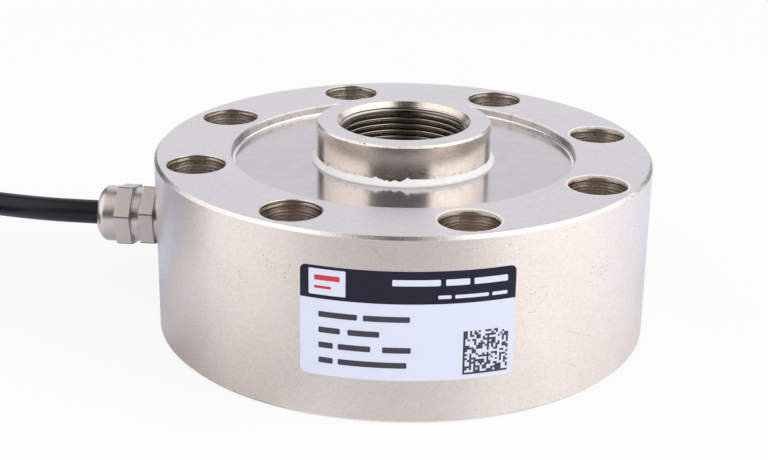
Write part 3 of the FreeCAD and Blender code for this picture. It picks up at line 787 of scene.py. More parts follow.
@dataclass(frozen=True)
class MouldedMatter:
    """Rubber, plastic, film, sealant and lacquer: one tone with mottling and a fine skin."""

    name: str
    colour: Colour
    roughness: float
    second: Colour | None = None
    tone_scale: float = 0.4
    skin_scale: float = 2.0
    skin_depth: float = 0.01
    specular: float = 0.5

    def material(self) -> bpy.types.Material:
        """Write the finish.

        Returns:
            The matter's material.
        """
        material, sheet, shader = blank_material(self.name)
        place = sheet.object_mm()
        tone = SHOP.place(sheet, Effect.GRAIN, {"Place": place, "Scale": self.tone_scale})
        skin = SHOP.place(sheet, Effect.GRAIN, {"Place": place, "Scale": self.skin_scale})
        other = self.second or tuple(0.86 * part for part in self.colour)
        sheet.feed(shader.inputs["Base Color"], sheet.tint(sheet.rise(tone, 0.3, 0.7), self.colour, other))
        rough = sheet.total(self.roughness - 0.06, sheet.product(skin, 0.12))
        sheet.feed(shader.inputs["Roughness"], rough)
        sheet.feed(shader.inputs["Normal"], sheet.bump(sheet.product(skin, self.skin_depth)))
        shader.inputs["Specular IOR Level"].default_value = self.specular
        return material


@dataclass(frozen=True)
class PatternedFilm:
    """Thin film with a repeated line pattern: gauge grids, flat ribbons and woven bands."""

    name: str
    ground: Colour
    line: Colour
    pitch: float
    share: float = 0.5
    roughness: float = 0.45
    depth: float = 0.02
    crossed: bool = False

    def material(self) -> bpy.types.Material:
        """Write the finish.

        Returns:
            The film's material.
        """
        material, sheet, shader = blank_material(self.name)
        place = sheet.object_mm()
        x, y, z = sheet.split(place)
        turn = 2 * math.pi / self.pitch
        first = sheet.math("SINE", sheet.product(sheet.total(x, y, z), turn))
        wave = first
        if self.crossed:
            second = sheet.math("SINE", sheet.product(sheet.minus(sheet.total(x, y), z), turn))
            wave = sheet.product(first, second)
        stripe = sheet.rise(wave, 1 - 2 * self.share - 0.25, 1 - 2 * self.share + 0.25)
        grain = SHOP.place(sheet, Effect.GRAIN, {"Place": place, "Scale": 0.8})
        toned = sheet.tint(stripe, self.ground, self.line)
        shaded = {"Color": toned, "Value": sheet.total(sheet.product(grain, 0.2), 0.9)}
        colour = sheet.put("ShaderNodeHueSaturation", shaded).outputs[0]
        sheet.feed(shader.inputs["Base Color"], colour)
        sheet.feed(shader.inputs["Roughness"], sheet.total(self.roughness - 0.05, sheet.product(grain, 0.1)))
        sheet.feed(shader.inputs["Normal"], sheet.bump(sheet.product(stripe, self.depth)))
        return material


def shade(mesh: bpy.types.Mesh, degrees: float) -> None:
    """Shade a mesh smooth, with edges sharper than an angle left sharp."""
    mesh.polygons.foreach_set("use_smooth", [True] * len(mesh.polygons))
    mesh.set_sharp_from_angle(angle=math.radians(degrees))
    mesh.update()


def mesh_piece(
    name: str,
    points: Sequence[Vector],
    faces: Sequence[Sequence[int]],
    material: bpy.types.Material,
    sharp: float = 35.0,
) -> bpy.types.Object:
    """A new piece from points and faces.

    Args:
        name: the piece's name.
        points: its points in metres.
        faces: indices of the points of each face.
        material: its finish.
        sharp: edges with a larger angle stay sharp, in degrees.

    Returns:
        The piece, in the scene.
    """
    mesh = bpy.data.meshes.new(name)
    mesh.from_pydata([tuple(point) for point in points], [], [tuple(face) for face in faces])
    mesh.materials.append(material)
    shade(mesh, sharp)
    piece = bpy.data.objects.new(name, mesh)
    bpy.context.scene.collection.objects.link(piece)
    return piece


def face_outwards(piece: bpy.types.Object) -> None:
    """Turn the faces of a closed mesh outwards."""
    work = bmesh.new()
    work.from_mesh(piece.data)
    bmesh.ops.recalc_face_normals(work, faces=work.faces)
    work.to_mesh(piece.data)
    work.free()
    piece.data.update()


def settle(piece: bpy.types.Object, slot: str, *nodes: str) -> bpy.types.Object:
    """Fix a piece to the body, hide the nodes that it stands for and log its finish slot.

    Args:
        piece: the finished piece.
        slot: the name of its material slot, which is only logged.
        nodes: the CAD nodes that the piece replaces.

    Returns:
        The piece.
    """
    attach(piece, BODY)
    if nodes:
        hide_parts(*nodes)
    LOG.info("piece %s (%s)%s", piece.name, slot, " for " + ", ".join(nodes) if nodes else "")
    return piece


def dress(node: str, material: bpy.types.Material) -> None:
    """Give a CAD node its finish."""
    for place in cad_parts[node].material_slots:
        place.material = material
    LOG.info("node %s dressed in %s", node, material.name)


def geometry_tree(name: str, inputs: Sequence[tuple[str, str]]) -> tuple[NodeSheet, bpy.types.Node]:
    """A new geometry tree.

    Args:
        name: the tree's name.
        inputs: the name and the socket type of each input.

    Returns:
        The tree's sheet and its input node.
    """
    tree = bpy.data.node_groups.new(name, "GeometryNodeTree")
    for label, kind in inputs:
        tree.interface.new_socket(label, in_out="INPUT", socket_type=kind)
    tree.interface.new_socket("Geometry", in_out="OUTPUT", socket_type="NodeSocketGeometry")
    sheet = NodeSheet(tree)
    return sheet, sheet.put("NodeGroupInput")


def finish_tree(sheet: NodeSheet, geometry: Socket, material: Socket) -> bpy.types.NodeTree:
    """End a geometry tree with real meshes in their finish, and hand it back."""
    real = sheet.put("GeometryNodeRealizeInstances", {"Geometry": geometry}).outputs[0]
    clad = sheet.put("GeometryNodeSetMaterial", {"Geometry": real, "Material": material}).outputs[0]
    sheet.put("NodeGroupOutput", {"Geometry": clad})
    return sheet.tree


def grown_piece(
    name: str, tree: bpy.types.NodeTree, values: dict[str, Any], material: bpy.types.Material, sharp: float
) -> bpy.types.Object:
    """A piece that a geometry tree grows, as a plain mesh.

    Args:
        name: the piece's name.
        tree: the geometry tree.
        values: its inputs by name.
        material: the piece's finish.
        sharp: edges with a larger angle stay sharp, in degrees.

    Returns:
        The piece, in the scene.
    """
    piece = mesh_piece(name, [], [], material)
    grower = piece.modifiers.new("grower", "NODES")
    grower.node_group = tree
    for socket in tree.interface.items_tree:
        if socket.in_out == "INPUT":
            grower[socket.identifier] = material if socket.name == "Material" else values[socket.name]
    graph = bpy.context.evaluated_depsgraph_get()
    mesh = bpy.data.meshes.new_from_object(piece.evaluated_get(graph), depsgraph=graph)
    piece.modifiers.remove(grower)
    piece.data = mesh
    mesh.name = name
    shade(mesh, sharp)
    return piece


def bearing(sheet: NodeSheet, way: Socket, front: float) -> tuple[Socket, Socket]:
    """Where a way leads, told from the front of the object.

    Args:
        sheet: the node tree to write on.
        way: the way, or a place seen from the object's middle.
        front: the angle of the front, in degrees.

    Returns:
        How far it leads to the front, and its turn from there in degrees to the right.
    """
    ahead = sheet.dot(way, polar(1, front))
    beside = sheet.dot(way, polar(1, front + 90))
    return ahead, sheet.math("DEGREES", sheet.math("ARCTAN2", beside, ahead))


@dataclass(frozen=True)
class PaleFloor:
    """The floor: pale and matt, lifted to white where it is seen, with an uneven glow where metal mirrors it.

    Reaches are in metres from the object's middle, and turns in degrees from the front to the right.
    """

    half: float = 4.0
    drop: float = 0.0001
    tone: Colour = (0.88, 0.875, 0.88)
    shadow: float = 0.97
    roughness: float = 0.9
    specular: float = 0.1
    seen_share: float = 0.85
    mirrored_share: float = 0.65
    glow: float = 0.86
    fade_ahead: Range = (0.42, 0.20)
    # Within this reach of the middle the glow is dimmed at the sides: a painted shadow of the object.
    near_shadow: Range = (0.152, 0.088)
    right: Range = (22.0, 42.0)
    right_far: Range = (62.0, 100.0)
    right_gain: Range = (0.18, 0.22)
    right_near: Range = (16.0, 36.0)
    right_near_gain: float = -0.30
    left: Range = (-16.0, -34.0)
    left_near: Range = (-88.0, -62.0)
    left_gain: Range = (0.10, -0.62)
    patches: tuple[tuple[Window, float], ...] = (
        ((-112.0, -80.0, 10.0), 0.20),
        ((-160.0, -141.0, 9.0), -0.34),
    )
    # A painted shadow under the gland: the glow dims round this spot.
    gland_shadow_spot: Point = (-0.09, -0.005, 0.0)
    gland_shadow_reach: Range = (0.012, 0.048)
    gland_shadow_gain: Range = (0.5, 1.0)
    cool: Range = (78.0, 108.0)
    cool_left: Colour = (0.66, 0.77, 1.0)
    cool_right: Colour = (0.76, 0.87, 1.0)

    def build(self, front: float) -> None:
        """Lay the floor.

        Args:
            front: the angle of the front, in degrees.
        """
        material, sheet, shader = blank_material("pale_floor")
        own = sheet.put("ShaderNodeTexCoord").outputs["Object"]
        shadow = tuple(self.shadow * part for part in self.tone)
        sheet.feed(shader.inputs["Base Color"], sheet.tint(sheet.noise(own, 6.0, 2.0), self.tone, shadow))
        shader.inputs["Roughness"].default_value = self.roughness
        shader.inputs["Specular IOR Level"].default_value = self.specular
        ray = sheet.put("ShaderNodeLightPath").outputs
        seen, mirrored = ray["Is Camera Ray"], ray["Is Glossy Ray"]
        ahead, turn = bearing(sheet, own, front)
        strength = sheet.mix(mirrored, 1.0, self.mirrored_glow(sheet, own, ahead, turn))
        cool = sheet.product(sheet.rise(sheet.math("ABSOLUTE", turn), *self.cool), mirrored)
        side = sheet.tint(sheet.math("GREATER_THAN", turn, 0.0), self.cool_left, self.cool_right)
        tone = sheet.tint(cool, WHITE, side)
        white = sheet.put("ShaderNodeEmission", {"Color": tone, "Strength": strength}).outputs[0]
        lifted = sheet.product(mirrored, self.mirrored_share)
        share = sheet.total(sheet.product(seen, self.seen_share), lifted)
        mixed = sheet.put("ShaderNodeMixShader", {0: share, 1: shader.outputs[0], 2: white})
        sheet.feed(material.node_tree.nodes["Material Output"].inputs["Surface"], mixed.outputs[0])
        signs = ((-1, -1), (1, -1), (1, 1), (-1, 1))
        corners = [Vector((across * self.half, along * self.half, -self.drop)) for across, along in signs]
        mesh_piece("floor", corners, [(0, 1, 2, 3)], material)

    def mirrored_glow(self, sheet: NodeSheet, own: Socket, ahead: Socket, turn: Socket) -> Socket:
        """How strongly the floor glows where metal mirrors it.

        Args:
            sheet: the floor's node tree.
            own: the place on the floor.
            ahead: how far it lies to the front.
            turn: its turn from the front.

        Returns:
            The strength.
        """
        spread = sheet.put("ShaderNodeVectorMath", {0: own}, operation="LENGTH").outputs["Value"]
        near_shadow = sheet.rise(spread, *self.near_shadow)
        right_far = sheet.mix(sheet.rise(turn, *self.right_far), *self.right_gain)
        left_near = sheet.product(near_shadow, sheet.rise(turn, *self.left_near))
        parts = [
            sheet.product(sheet.rise(turn, *self.right), right_far),
            sheet.product(near_shadow, sheet.rise(turn, *self.right_near), self.right_near_gain),
            sheet.product(sheet.rise(turn, *self.left), sheet.mix(left_near, *self.left_gain)),
        ]
        parts += [sheet.product(sheet.window(turn, *span), gain) for span, gain in self.patches]
        # Painted shadow under the gland.
        gland_shadow_spot = sheet.rise(sheet.distance(own, self.gland_shadow_spot), *self.gland_shadow_reach)
        fade = sheet.rise(ahead, *self.fade_ahead)
        return sheet.product(fade, sheet.total(self.glow, *parts), sheet.mix(gland_shadow_spot, *self.gland_shadow_gain))


@dataclass(frozen=True)
class SidePanel:
    """One bright panel of the room: its span, its lean at mid height and its fade to the back, in degrees."""

    span: Window
    lean: Range
    lean_by: float
    fade: Range
    gain: Range


@dataclass(frozen=True)
class SoftRoom:
    """The soft surroundings: a bright panel on each side, a pale back and a darker front, in degrees."""

    panels: tuple[SidePanel, ...] = (
        SidePanel((40.0, 133.0, 7.0), (70.0, 45.0), 15.0, (75.0, 125.0), (1.5, 0.95)),
        SidePanel((-126.0, -50.0, 7.0), (-80.0, -55.0), -18.0, (-75.0, -125.0), (1.14, 0.80)),
    )
    panel_top: Range = (80.0, 64.0)
    lean_height: Window = (32.0, 52.0, 12.0)
    front_end: Range = (30.0, 50.0)
    front_gain: Range = (0.04, 0.22)
    back: Range = (145.0, 163.0)
    back_top: Range = (68.0, 48.0)
    back_gain: float = 0.68
    gap: Window = (-145.0, -131.0, 6.0)
    gap_gain: float = -0.14
    zenith: Range = (88.0, 66.0)
    zenith_gain: float = 0.25
    cool: Range = (112.0, 130.0)
    warm_tone: Colour = (1.0, 0.965, 0.93)
    cool_tone: Colour = (0.95, 0.955, 1.0)

    def build(self, front: float) -> None:
        """Set the world.

        Args:
            front: the angle of the front, in degrees.
        """
        world = bpy.data.worlds.new("soft_studio")
        bpy.context.scene.world = world
        world.use_nodes = True
        sheet = NodeSheet(world.node_tree)
        way = sheet.put("ShaderNodeTexCoord").outputs["Generated"]
        _, turn = bearing(sheet, way, front)
        _, _, up = sheet.split(way)
        height = sheet.math("DEGREES", sheet.math("ARCSINE", up))
        aside = sheet.math("ABSOLUTE", turn)
        tall = sheet.rise(height, *self.panel_top)
        leaning = sheet.window(height, *self.lean_height)
        parts = [sheet.mix(sheet.rise(aside, *self.front_end), *self.front_gain)]
        for panel in self.panels:
            bent = sheet.total(turn, sheet.product(leaning, sheet.rise(turn, *panel.lean), panel.lean_by))
            bright = sheet.mix(sheet.rise(turn, *panel.fade), *panel.gain)
            parts.append(sheet.product(sheet.window(bent, *panel.span), tall, bright))
        behind = sheet.product(sheet.rise(aside, *self.back), sheet.rise(height, *self.back_top))
        parts.append(sheet.product(behind, self.back_gain))
        parts.append(sheet.product(sheet.window(turn, *self.gap), self.gap_gain))
        level = sheet.mix(sheet.rise(height, *self.zenith), self.zenith_gain, sheet.total(*parts))
        tone = sheet.tint(sheet.rise(aside, *self.cool), self.warm_tone, self.cool_tone)
        lit = sheet.put("ShaderNodeBackground", {"Color": tone, "Strength": level}).outputs[0]
        plain = sheet.put("ShaderNodeBackground", {"Color": (*WHITE, 1.0), "Strength": 1.0}).outputs[0]
        seen = sheet.put("ShaderNodeLightPath").outputs["Is Camera Ray"]
        mixed = sheet.put("ShaderNodeMixShader", {0: seen, 1: lit, 2: plain}).outputs[0]
        sheet.feed(world.node_tree.nodes["World Output"].inputs["Surface"], mixed)


@dataclass
class Studio:
    """The pale floor, the soft light and the camera at the photograph's angle, in metres and degrees."""

    eye: Point = (0.048205, -0.464884, 0.206253)
    aim: Point = (-0.005555, -0.0008075, 0.028088)
    roll: float = 0.799
    lens: float = 74.72
    sensor: float = 36.0
    front: float = -84.08
    lamp_size: float = 1.4
    lamp_power: float = 10.0
    lamp_reach: float = 1.25
    lamp_height: float = 1.05

    def build(self) -> None:
        """Set up everything that isn't part of the object."""
        self.camera()
        PaleFloor().build(self.front)
        SoftRoom().build(self.front)
        self.fill()

    def camera(self) -> None:
        """The camera, from its place, its aim and its roll."""
        eye = Vector(self.eye)
        ahead = (Vector(self.aim) - eye).normalized()
        level = ahead.cross(Vector((0, 0, 1))).normalized()
        up = level.cross(ahead)
        turn = math.radians(self.roll)
        right = level * math.cos(turn) + up * math.sin(turn)
        above = up * math.cos(turn) - level * math.sin(turn)
        data = bpy.data.cameras.new("photo_camera")
        data.lens = self.lens
        data.sensor_width = self.sensor
        data.sensor_fit = "HORIZONTAL"
        camera = bpy.data.objects.new("photo_camera", data)
        columns = Matrix((right, above, -ahead)).transposed().to_4x4()
        camera.matrix_world = Matrix.Translation(eye) @ columns
        bpy.context.scene.collection.objects.link(camera)
        bpy.context.scene.camera = camera
        bpy.context.scene.view_settings.view_transform = "Standard"

    def fill(self) -> None:
        """A broad soft lamp over the camera, for what isn't metal."""
        data = bpy.data.lights.new("front_fill", "AREA")
        data.shape = "DISK"
        data.size = self.lamp_size
        data.energy = self.lamp_power
        lamp = bpy.data.objects.new("front_fill", data)
        place = polar(self.lamp_reach, self.front, self.lamp_height)
        lamp.matrix_world = Matrix.Translation(place) @ (place.to_track_quat("Z", "Y").to_matrix().to_4x4())
        lamp.visible_glossy = False
        bpy.context.scene.collection.objects.link(lamp)


@dataclass
class SpokeElement:
    """The one-piece body and the thread in its hub; thread sizes in millimetres."""

    pitch: float = 2.0
    root: float = 19.49
    crest: float = 18.42
    root_half: float = 0.93
    crest_half: float = 0.15
    mouth: float = 20.5
    flare: float = 0.588
    low: float = 1.5
    high: float = 64.3
    start: float = 1.5
    turns: int = 32
    segments: int = 90
    phase: float = 165.0
    # Painted light on the thread by radius: a light crest, a near-black flank and a bright root stand in for
    # its highlights and shade.
    painted_crest_tone: Colour = (0.43, 0.39, 0.35)
    painted_flank_shade: Colour = (0.07, 0.062, 0.055)
    painted_root_highlight: Colour = (0.62, 0.565, 0.51)
    flank_shade_from: float = 18.50
    root_highlight_from: float = 18.95
    section: int = 13
    sharp: float = 75.0

    def build(self) -> None:
        """Dress the body and cut its thread."""
        dress("spoke_body", PlatedSteel().material())
        finish = PolishedMetal(
            "bore_thread", self.painted_crest_tone, 0.20, grain_scale=1.3, grain_depth=0.05, pit_share=0.2,
            mottle=0.5,
            painted_bands=((self.flank_shade_from, self.painted_flank_shade), (self.root_highlight_from, self.painted_root_highlight)),
        ).material()
        values = {
            "Pitch": self.pitch * MM,
            "Root Radius": self.root * MM,
            "Crest Radius": self.crest * MM,
            "Root Half": self.root_half * MM,
            "Crest Half": self.crest_half * MM,
            "Mouth Radius": self.mouth * MM,
            "Flare": self.flare,
            "Low": self.low * MM,
            "High": self.high * MM,
            "Start": self.start * MM,
            "Phase": math.radians(self.phase),
            "Turns": self.turns,
            "Segments": self.segments,
        }
        settle(grown_piece("bore_thread", self.thread_tree(), values, finish, self.sharp), "nickel_steel")

    def thread_tree(self) -> bpy.types.NodeTree:
        """The rule of the thread: a ridge wound up the bore, cut back by the countersink at each mouth.

        Returns:
            The geometry tree.
        """
        numbers = ["Pitch", "Root Radius", "Crest Radius", "Root Half", "Crest Half", "Mouth Radius", "Flare"]
        numbers += ["Low", "High", "Start", "Phase"]
        inputs = [(name, "NodeSocketFloat") for name in numbers]
        inputs += [("Turns", "NodeSocketInt"), ("Segments", "NodeSocketInt")]
        sheet, given = geometry_tree("thread_ridge", [*inputs, ("Material", "NodeSocketMaterial")])
        size = given.outputs
        section = self.section
        steps = sheet.total(sheet.product(size["Turns"], size["Segments"]), 1)
        grid = {"Size X": 1.0, "Size Y": 1.0, "Vertices X": steps, "Vertices Y": section + 1}
        strip = sheet.put("GeometryNodeMeshGrid", grid).outputs["Mesh"]
        u, v, _ = sheet.split(sheet.put("GeometryNodeInputPosition").outputs[0])
        along = sheet.total(u, 0.5)
        number = sheet.math("ROUND", sheet.product(sheet.total(v, 0.5), section))
        number = sheet.product(number, sheet.math("LESS_THAN", number, section - 0.5))
        side = sheet.minus(sheet.product(number, 2 / (section - 1)), 1.0)
        ends = sheet.product(sheet.rise(along, 0.0, 0.002), sheet.rise(along, 1.0, 0.998))
        offset = sheet.product(side, size["Root Half"])
        flank = sheet.minus(size["Root Half"], size["Crest Half"])
        inside = sheet.minus(size["Root Half"], sheet.math("ABSOLUTE", offset))
        climb = sheet.product(sheet.math("MINIMUM", sheet.math("DIVIDE", inside, flank), 1.0), ends)
        ridge = sheet.mix(climb, size["Root Radius"], size["Crest Radius"])
        wound = sheet.product(along, size["Turns"])
        free = sheet.total(size["Start"], sheet.product(wound, size["Pitch"]), sheet.product(offset, ends))
        mouth = sheet.minus(size["Mouth Radius"], size["Root Radius"])
        lead = sheet.math("DIVIDE", mouth, size["Flare"])
        ceiling = sheet.minus(size["High"], lead)
        z = sheet.math("MINIMUM", sheet.most(free, sheet.total(size["Low"], lead)), ceiling)
        below = sheet.product(sheet.minus(size["High"], z), size["Flare"])
        above = sheet.product(sheet.minus(z, size["Low"]), size["Flare"])
        cone = sheet.minus(size["Mouth Radius"], sheet.math("MINIMUM", below, above))
        radius = sheet.math("MINIMUM", sheet.most(ridge, cone), size["Root Radius"])
        angle = sheet.total(sheet.product(wound, 2 * math.pi), size["Phase"])
        x = sheet.product(radius, sheet.math("COSINE", angle))
        y = sheet.product(radius, sheet.math("SINE", angle))
        wrapped = {"Geometry": strip, "Position": sheet.join(x, y, z)}
        moved = sheet.put("GeometryNodeSetPosition", wrapped).outputs[0]
        closed = sheet.put("GeometryNodeMergeByDistance", {"Geometry": moved, "Distance": 1e-7}).outputs[0]
        return finish_tree(sheet, closed, size["Material"])


@dataclass
class Covers:
    """The cover plates and the sealant round the hub; sizes in millimetres."""

    hub: float = 26.75
    top_face: float = 52.1
    low_face: float = 2.9
    bead_width: float = 1.3
    top_rise: float = 2.0
    low_rise: float = 1.0
    steps: int = 720
    torn_at: float = -85.0
    seed: int = 7
    wave_counts: tuple[int, ...] = (2, 3, 5, 8, 13, 21, 34, 55, 89)
    torn_spread: float = 11.0
    torn: int = 12
    uneven: int = 44
    # A painted highlight: a bright ring on the cover plates beyond this radius, by the recess wall.
    plate_highlight_from: float = 51.6
    painted_lip_highlight: Colour = (0.93, 0.92, 0.91)
    section: tuple[Range, ...] = (
        (1.0, 0.0), (1.05, 0.11), (1.0, 0.25), (0.80, 0.42),
        (0.54, 0.58), (0.30, 0.73), (0.13, 0.87), (0.0, 1.0),
    )

    def build(self) -> None:
        """Dress the plates and run the beads."""
        plate = PolishedMetal(
            "polished_plate", (0.615, 0.59, 0.605), 0.14, grain_scale=0.18, grain_depth=0.006, scuffs=0.2,
            mottle=0.3, metallic=0.88, painted_bands=((self.plate_highlight_from, self.painted_lip_highlight),),
        ).material()
        dress("top_cover", plate)
        dress("bottom_cover", plate)
        sealant = MouldedMatter(
            "white_sealant", (0.885, 0.89, 0.905), 0.42, second=(0.825, 0.83, 0.845), tone_scale=0.8,
            skin_scale=1.4, skin_depth=0.04,
        ).material()
        for name, node, face, rise in (
            ("top_bead", "top_seal_bead", self.top_face, self.top_rise),
            ("low_bead", "bottom_seal_bead", self.low_face, -self.low_rise),
        ):
            settle(self.bead(name, face, rise, sealant), "white_sealant", node)

    def bead(self, name: str, face: float, rise: float, material: bpy.types.Material) -> bpy.types.Object:
        """A hand-run bead with an uneven upper edge.

        Args:
            name: the piece's name.
            face: the height of the plate's outer face.
            rise: how far it climbs the hub, negative on the underside.
            material: the sealant's finish.

        Returns:
            The bead as a closed ring.
        """
        dice = random.Random(self.seed)
        waves = [(k, dice.uniform(-1, 1), dice.uniform(0, 2 * math.pi)) for k in self.wave_counts]
        tears = [
            (dice.gauss(self.torn_at, self.torn_spread), dice.uniform(0.7, 2.2), dice.uniform(-0.28, 0.34))
            for _ in range(self.torn)
        ]
        tears += [
            (dice.uniform(-180, 180), dice.uniform(0.8, 3.4), dice.uniform(-0.12, 0.13))
            for _ in range(self.uneven)
        ]
        profile = 1 + len(self.section)
        points: list[Vector] = []
        for step in range(self.steps):
            degrees = 360 * step / self.steps
            angle = math.radians(degrees)
            swing = sum(size * math.sin(k * angle + start) / k ** 0.5 for k, size, start in waves)
            nick = 0.0
            for centre, half, size in tears:
                away = (degrees - centre + 180) % 360 - 180
                nick += size * math.exp(-(away / half) ** 2)
            climb = rise * (0.97 + 0.08 * swing)
            ragged = rise * max(-0.4, min(0.45, nick))
            width = self.bead_width * (1 + 0.012 * swing)
            points.append(metres(polar(self.hub, degrees, face)))
            for out, lift in self.section:
                level = face + climb * lift + ragged * lift ** 2
                points.append(metres(polar(self.hub + width * out, degrees, level)))
        faces = []
        for step in range(self.steps):
            here, there = step * profile, (step + 1) % self.steps * profile
            for place in range(profile):
                after = (place + 1) % profile
                faces.append((here + place, there + place, there + after, here + after))
        piece = mesh_piece(name, points, faces, material, 60.0)
        face_outwards(piece)
        return piece


@dataclass
class Bridge:
    """What the covers hide: gauges, terminals, board, chips, ribbons, links and cores."""

    gauges: int = 8
    terminals: int = 3

    def build(self) -> None:
        """Dress the gauges and the wiring."""
        gauge = PatternedFilm("gauge_grid", (0.62, 0.36, 0.13), (0.55, 0.47, 0.36), 0.7).material()
        for number in range(1, self.gauges + 1):
            dress("strain_gauge_%d" % number, gauge)
        board = MouldedMatter("board_lacquer", (0.04, 0.20, 0.09), 0.35, (0.05, 0.24, 0.11), 0.3).material()
        dress("compensation_board", board)
        for number in range(1, self.terminals + 1):
            dress("solder_terminal_%d" % number, board)
        dress("trim_resistors", MouldedMatter("chip_body", (0.03, 0.03, 0.035), 0.5).material())
        ribbon = PatternedFilm("flat_ribbon", (0.55, 0.33, 0.14), (0.62, 0.42, 0.22), 0.4)
        dress("gauge_ribbons", ribbon.material())
        wire = PatternedFilm("flat_wire", (0.78, 0.78, 0.75), (0.70, 0.70, 0.68), 0.4)
        dress("bridge_wires", wire.material())
        dress("cable_cores", MouldedMatter("core_skin", (0.55, 0.09, 0.07), 0.45).material())


@dataclass
class Gland:
    """The cable gland: plated body, nut and washer, rubber bush and the cage; sizes in millimetres."""

    edge: float = 0.28
    height: float = 28.75
    # corner and ends place the painted shade lines on the gland's hexes.
    corner: float = 10.2
    ends: Range = (-84.95, -77.55)
    sharp: float = 35.0
    flat: float = 0.4
    merge: float = 0.002

    def build(self) -> None:
        """Dress the gland's pieces and break the edges of its metal."""
        plated = PolishedMetal(
            "gland_plate", (0.71, 0.655, 0.645), 0.30, grain_scale=1.8, grain_depth=0.04, line_pitch=0.35,
            line_depth=0.004, mottle=0.5, corner_from=self.corner, axis_height=self.height, ends=self.ends,
        ).material()
        for node, name in (("gland_body", "gland_base"), ("gland_nut", "gland_cap")):
            settle(self.broken_edges(node, name, plated), "gland_nickel", node)
        rubber = MouldedMatter("gland_rubber_skin", (0.018, 0.018, 0.02), 0.6).material()
        dress("gland_washer", plated)
        dress("gland_seal", rubber)
        dress("gland_claw", MouldedMatter("cage_nylon", (0.72, 0.71, 0.66), 0.45).material())

    def broken_edges(self, node: str, name: str, material: bpy.types.Material) -> bpy.types.Object:
        """A copy of a node with its edges rounded over.

        Args:
            node: the CAD node to copy.
            name: the new piece's name.
            material: its finish.

        Returns:
            The piece.
        """
        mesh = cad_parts[node].data.copy()
        if mesh.attributes.get("custom_normal"):
            mesh.attributes.remove(mesh.attributes["custom_normal"])
        work = bmesh.new()
        work.from_mesh(mesh)
        bmesh.ops.remove_doubles(work, verts=work.verts, dist=self.merge * MM)
        level = math.radians(self.flat)
        bmesh.ops.dissolve_limit(work, angle_limit=level, verts=work.verts, edges=work.edges)
        work.to_mesh(mesh)
        work.free()
        mesh.name = name
        mesh.materials.clear()
        mesh.materials.append(material)
        shade(mesh, self.sharp)
        piece = bpy.data.objects.new(name, mesh)
        bpy.context.scene.collection.objects.link(piece)
        bevel = piece.modifiers.new("edges", "BEVEL")
        bevel.width = self.edge * MM
        bevel.segments = 2
        bevel.limit_method = "ANGLE"
        bevel.angle_limit = math.radians(self.sharp)
        bevel.harden_normals = True
        return piece


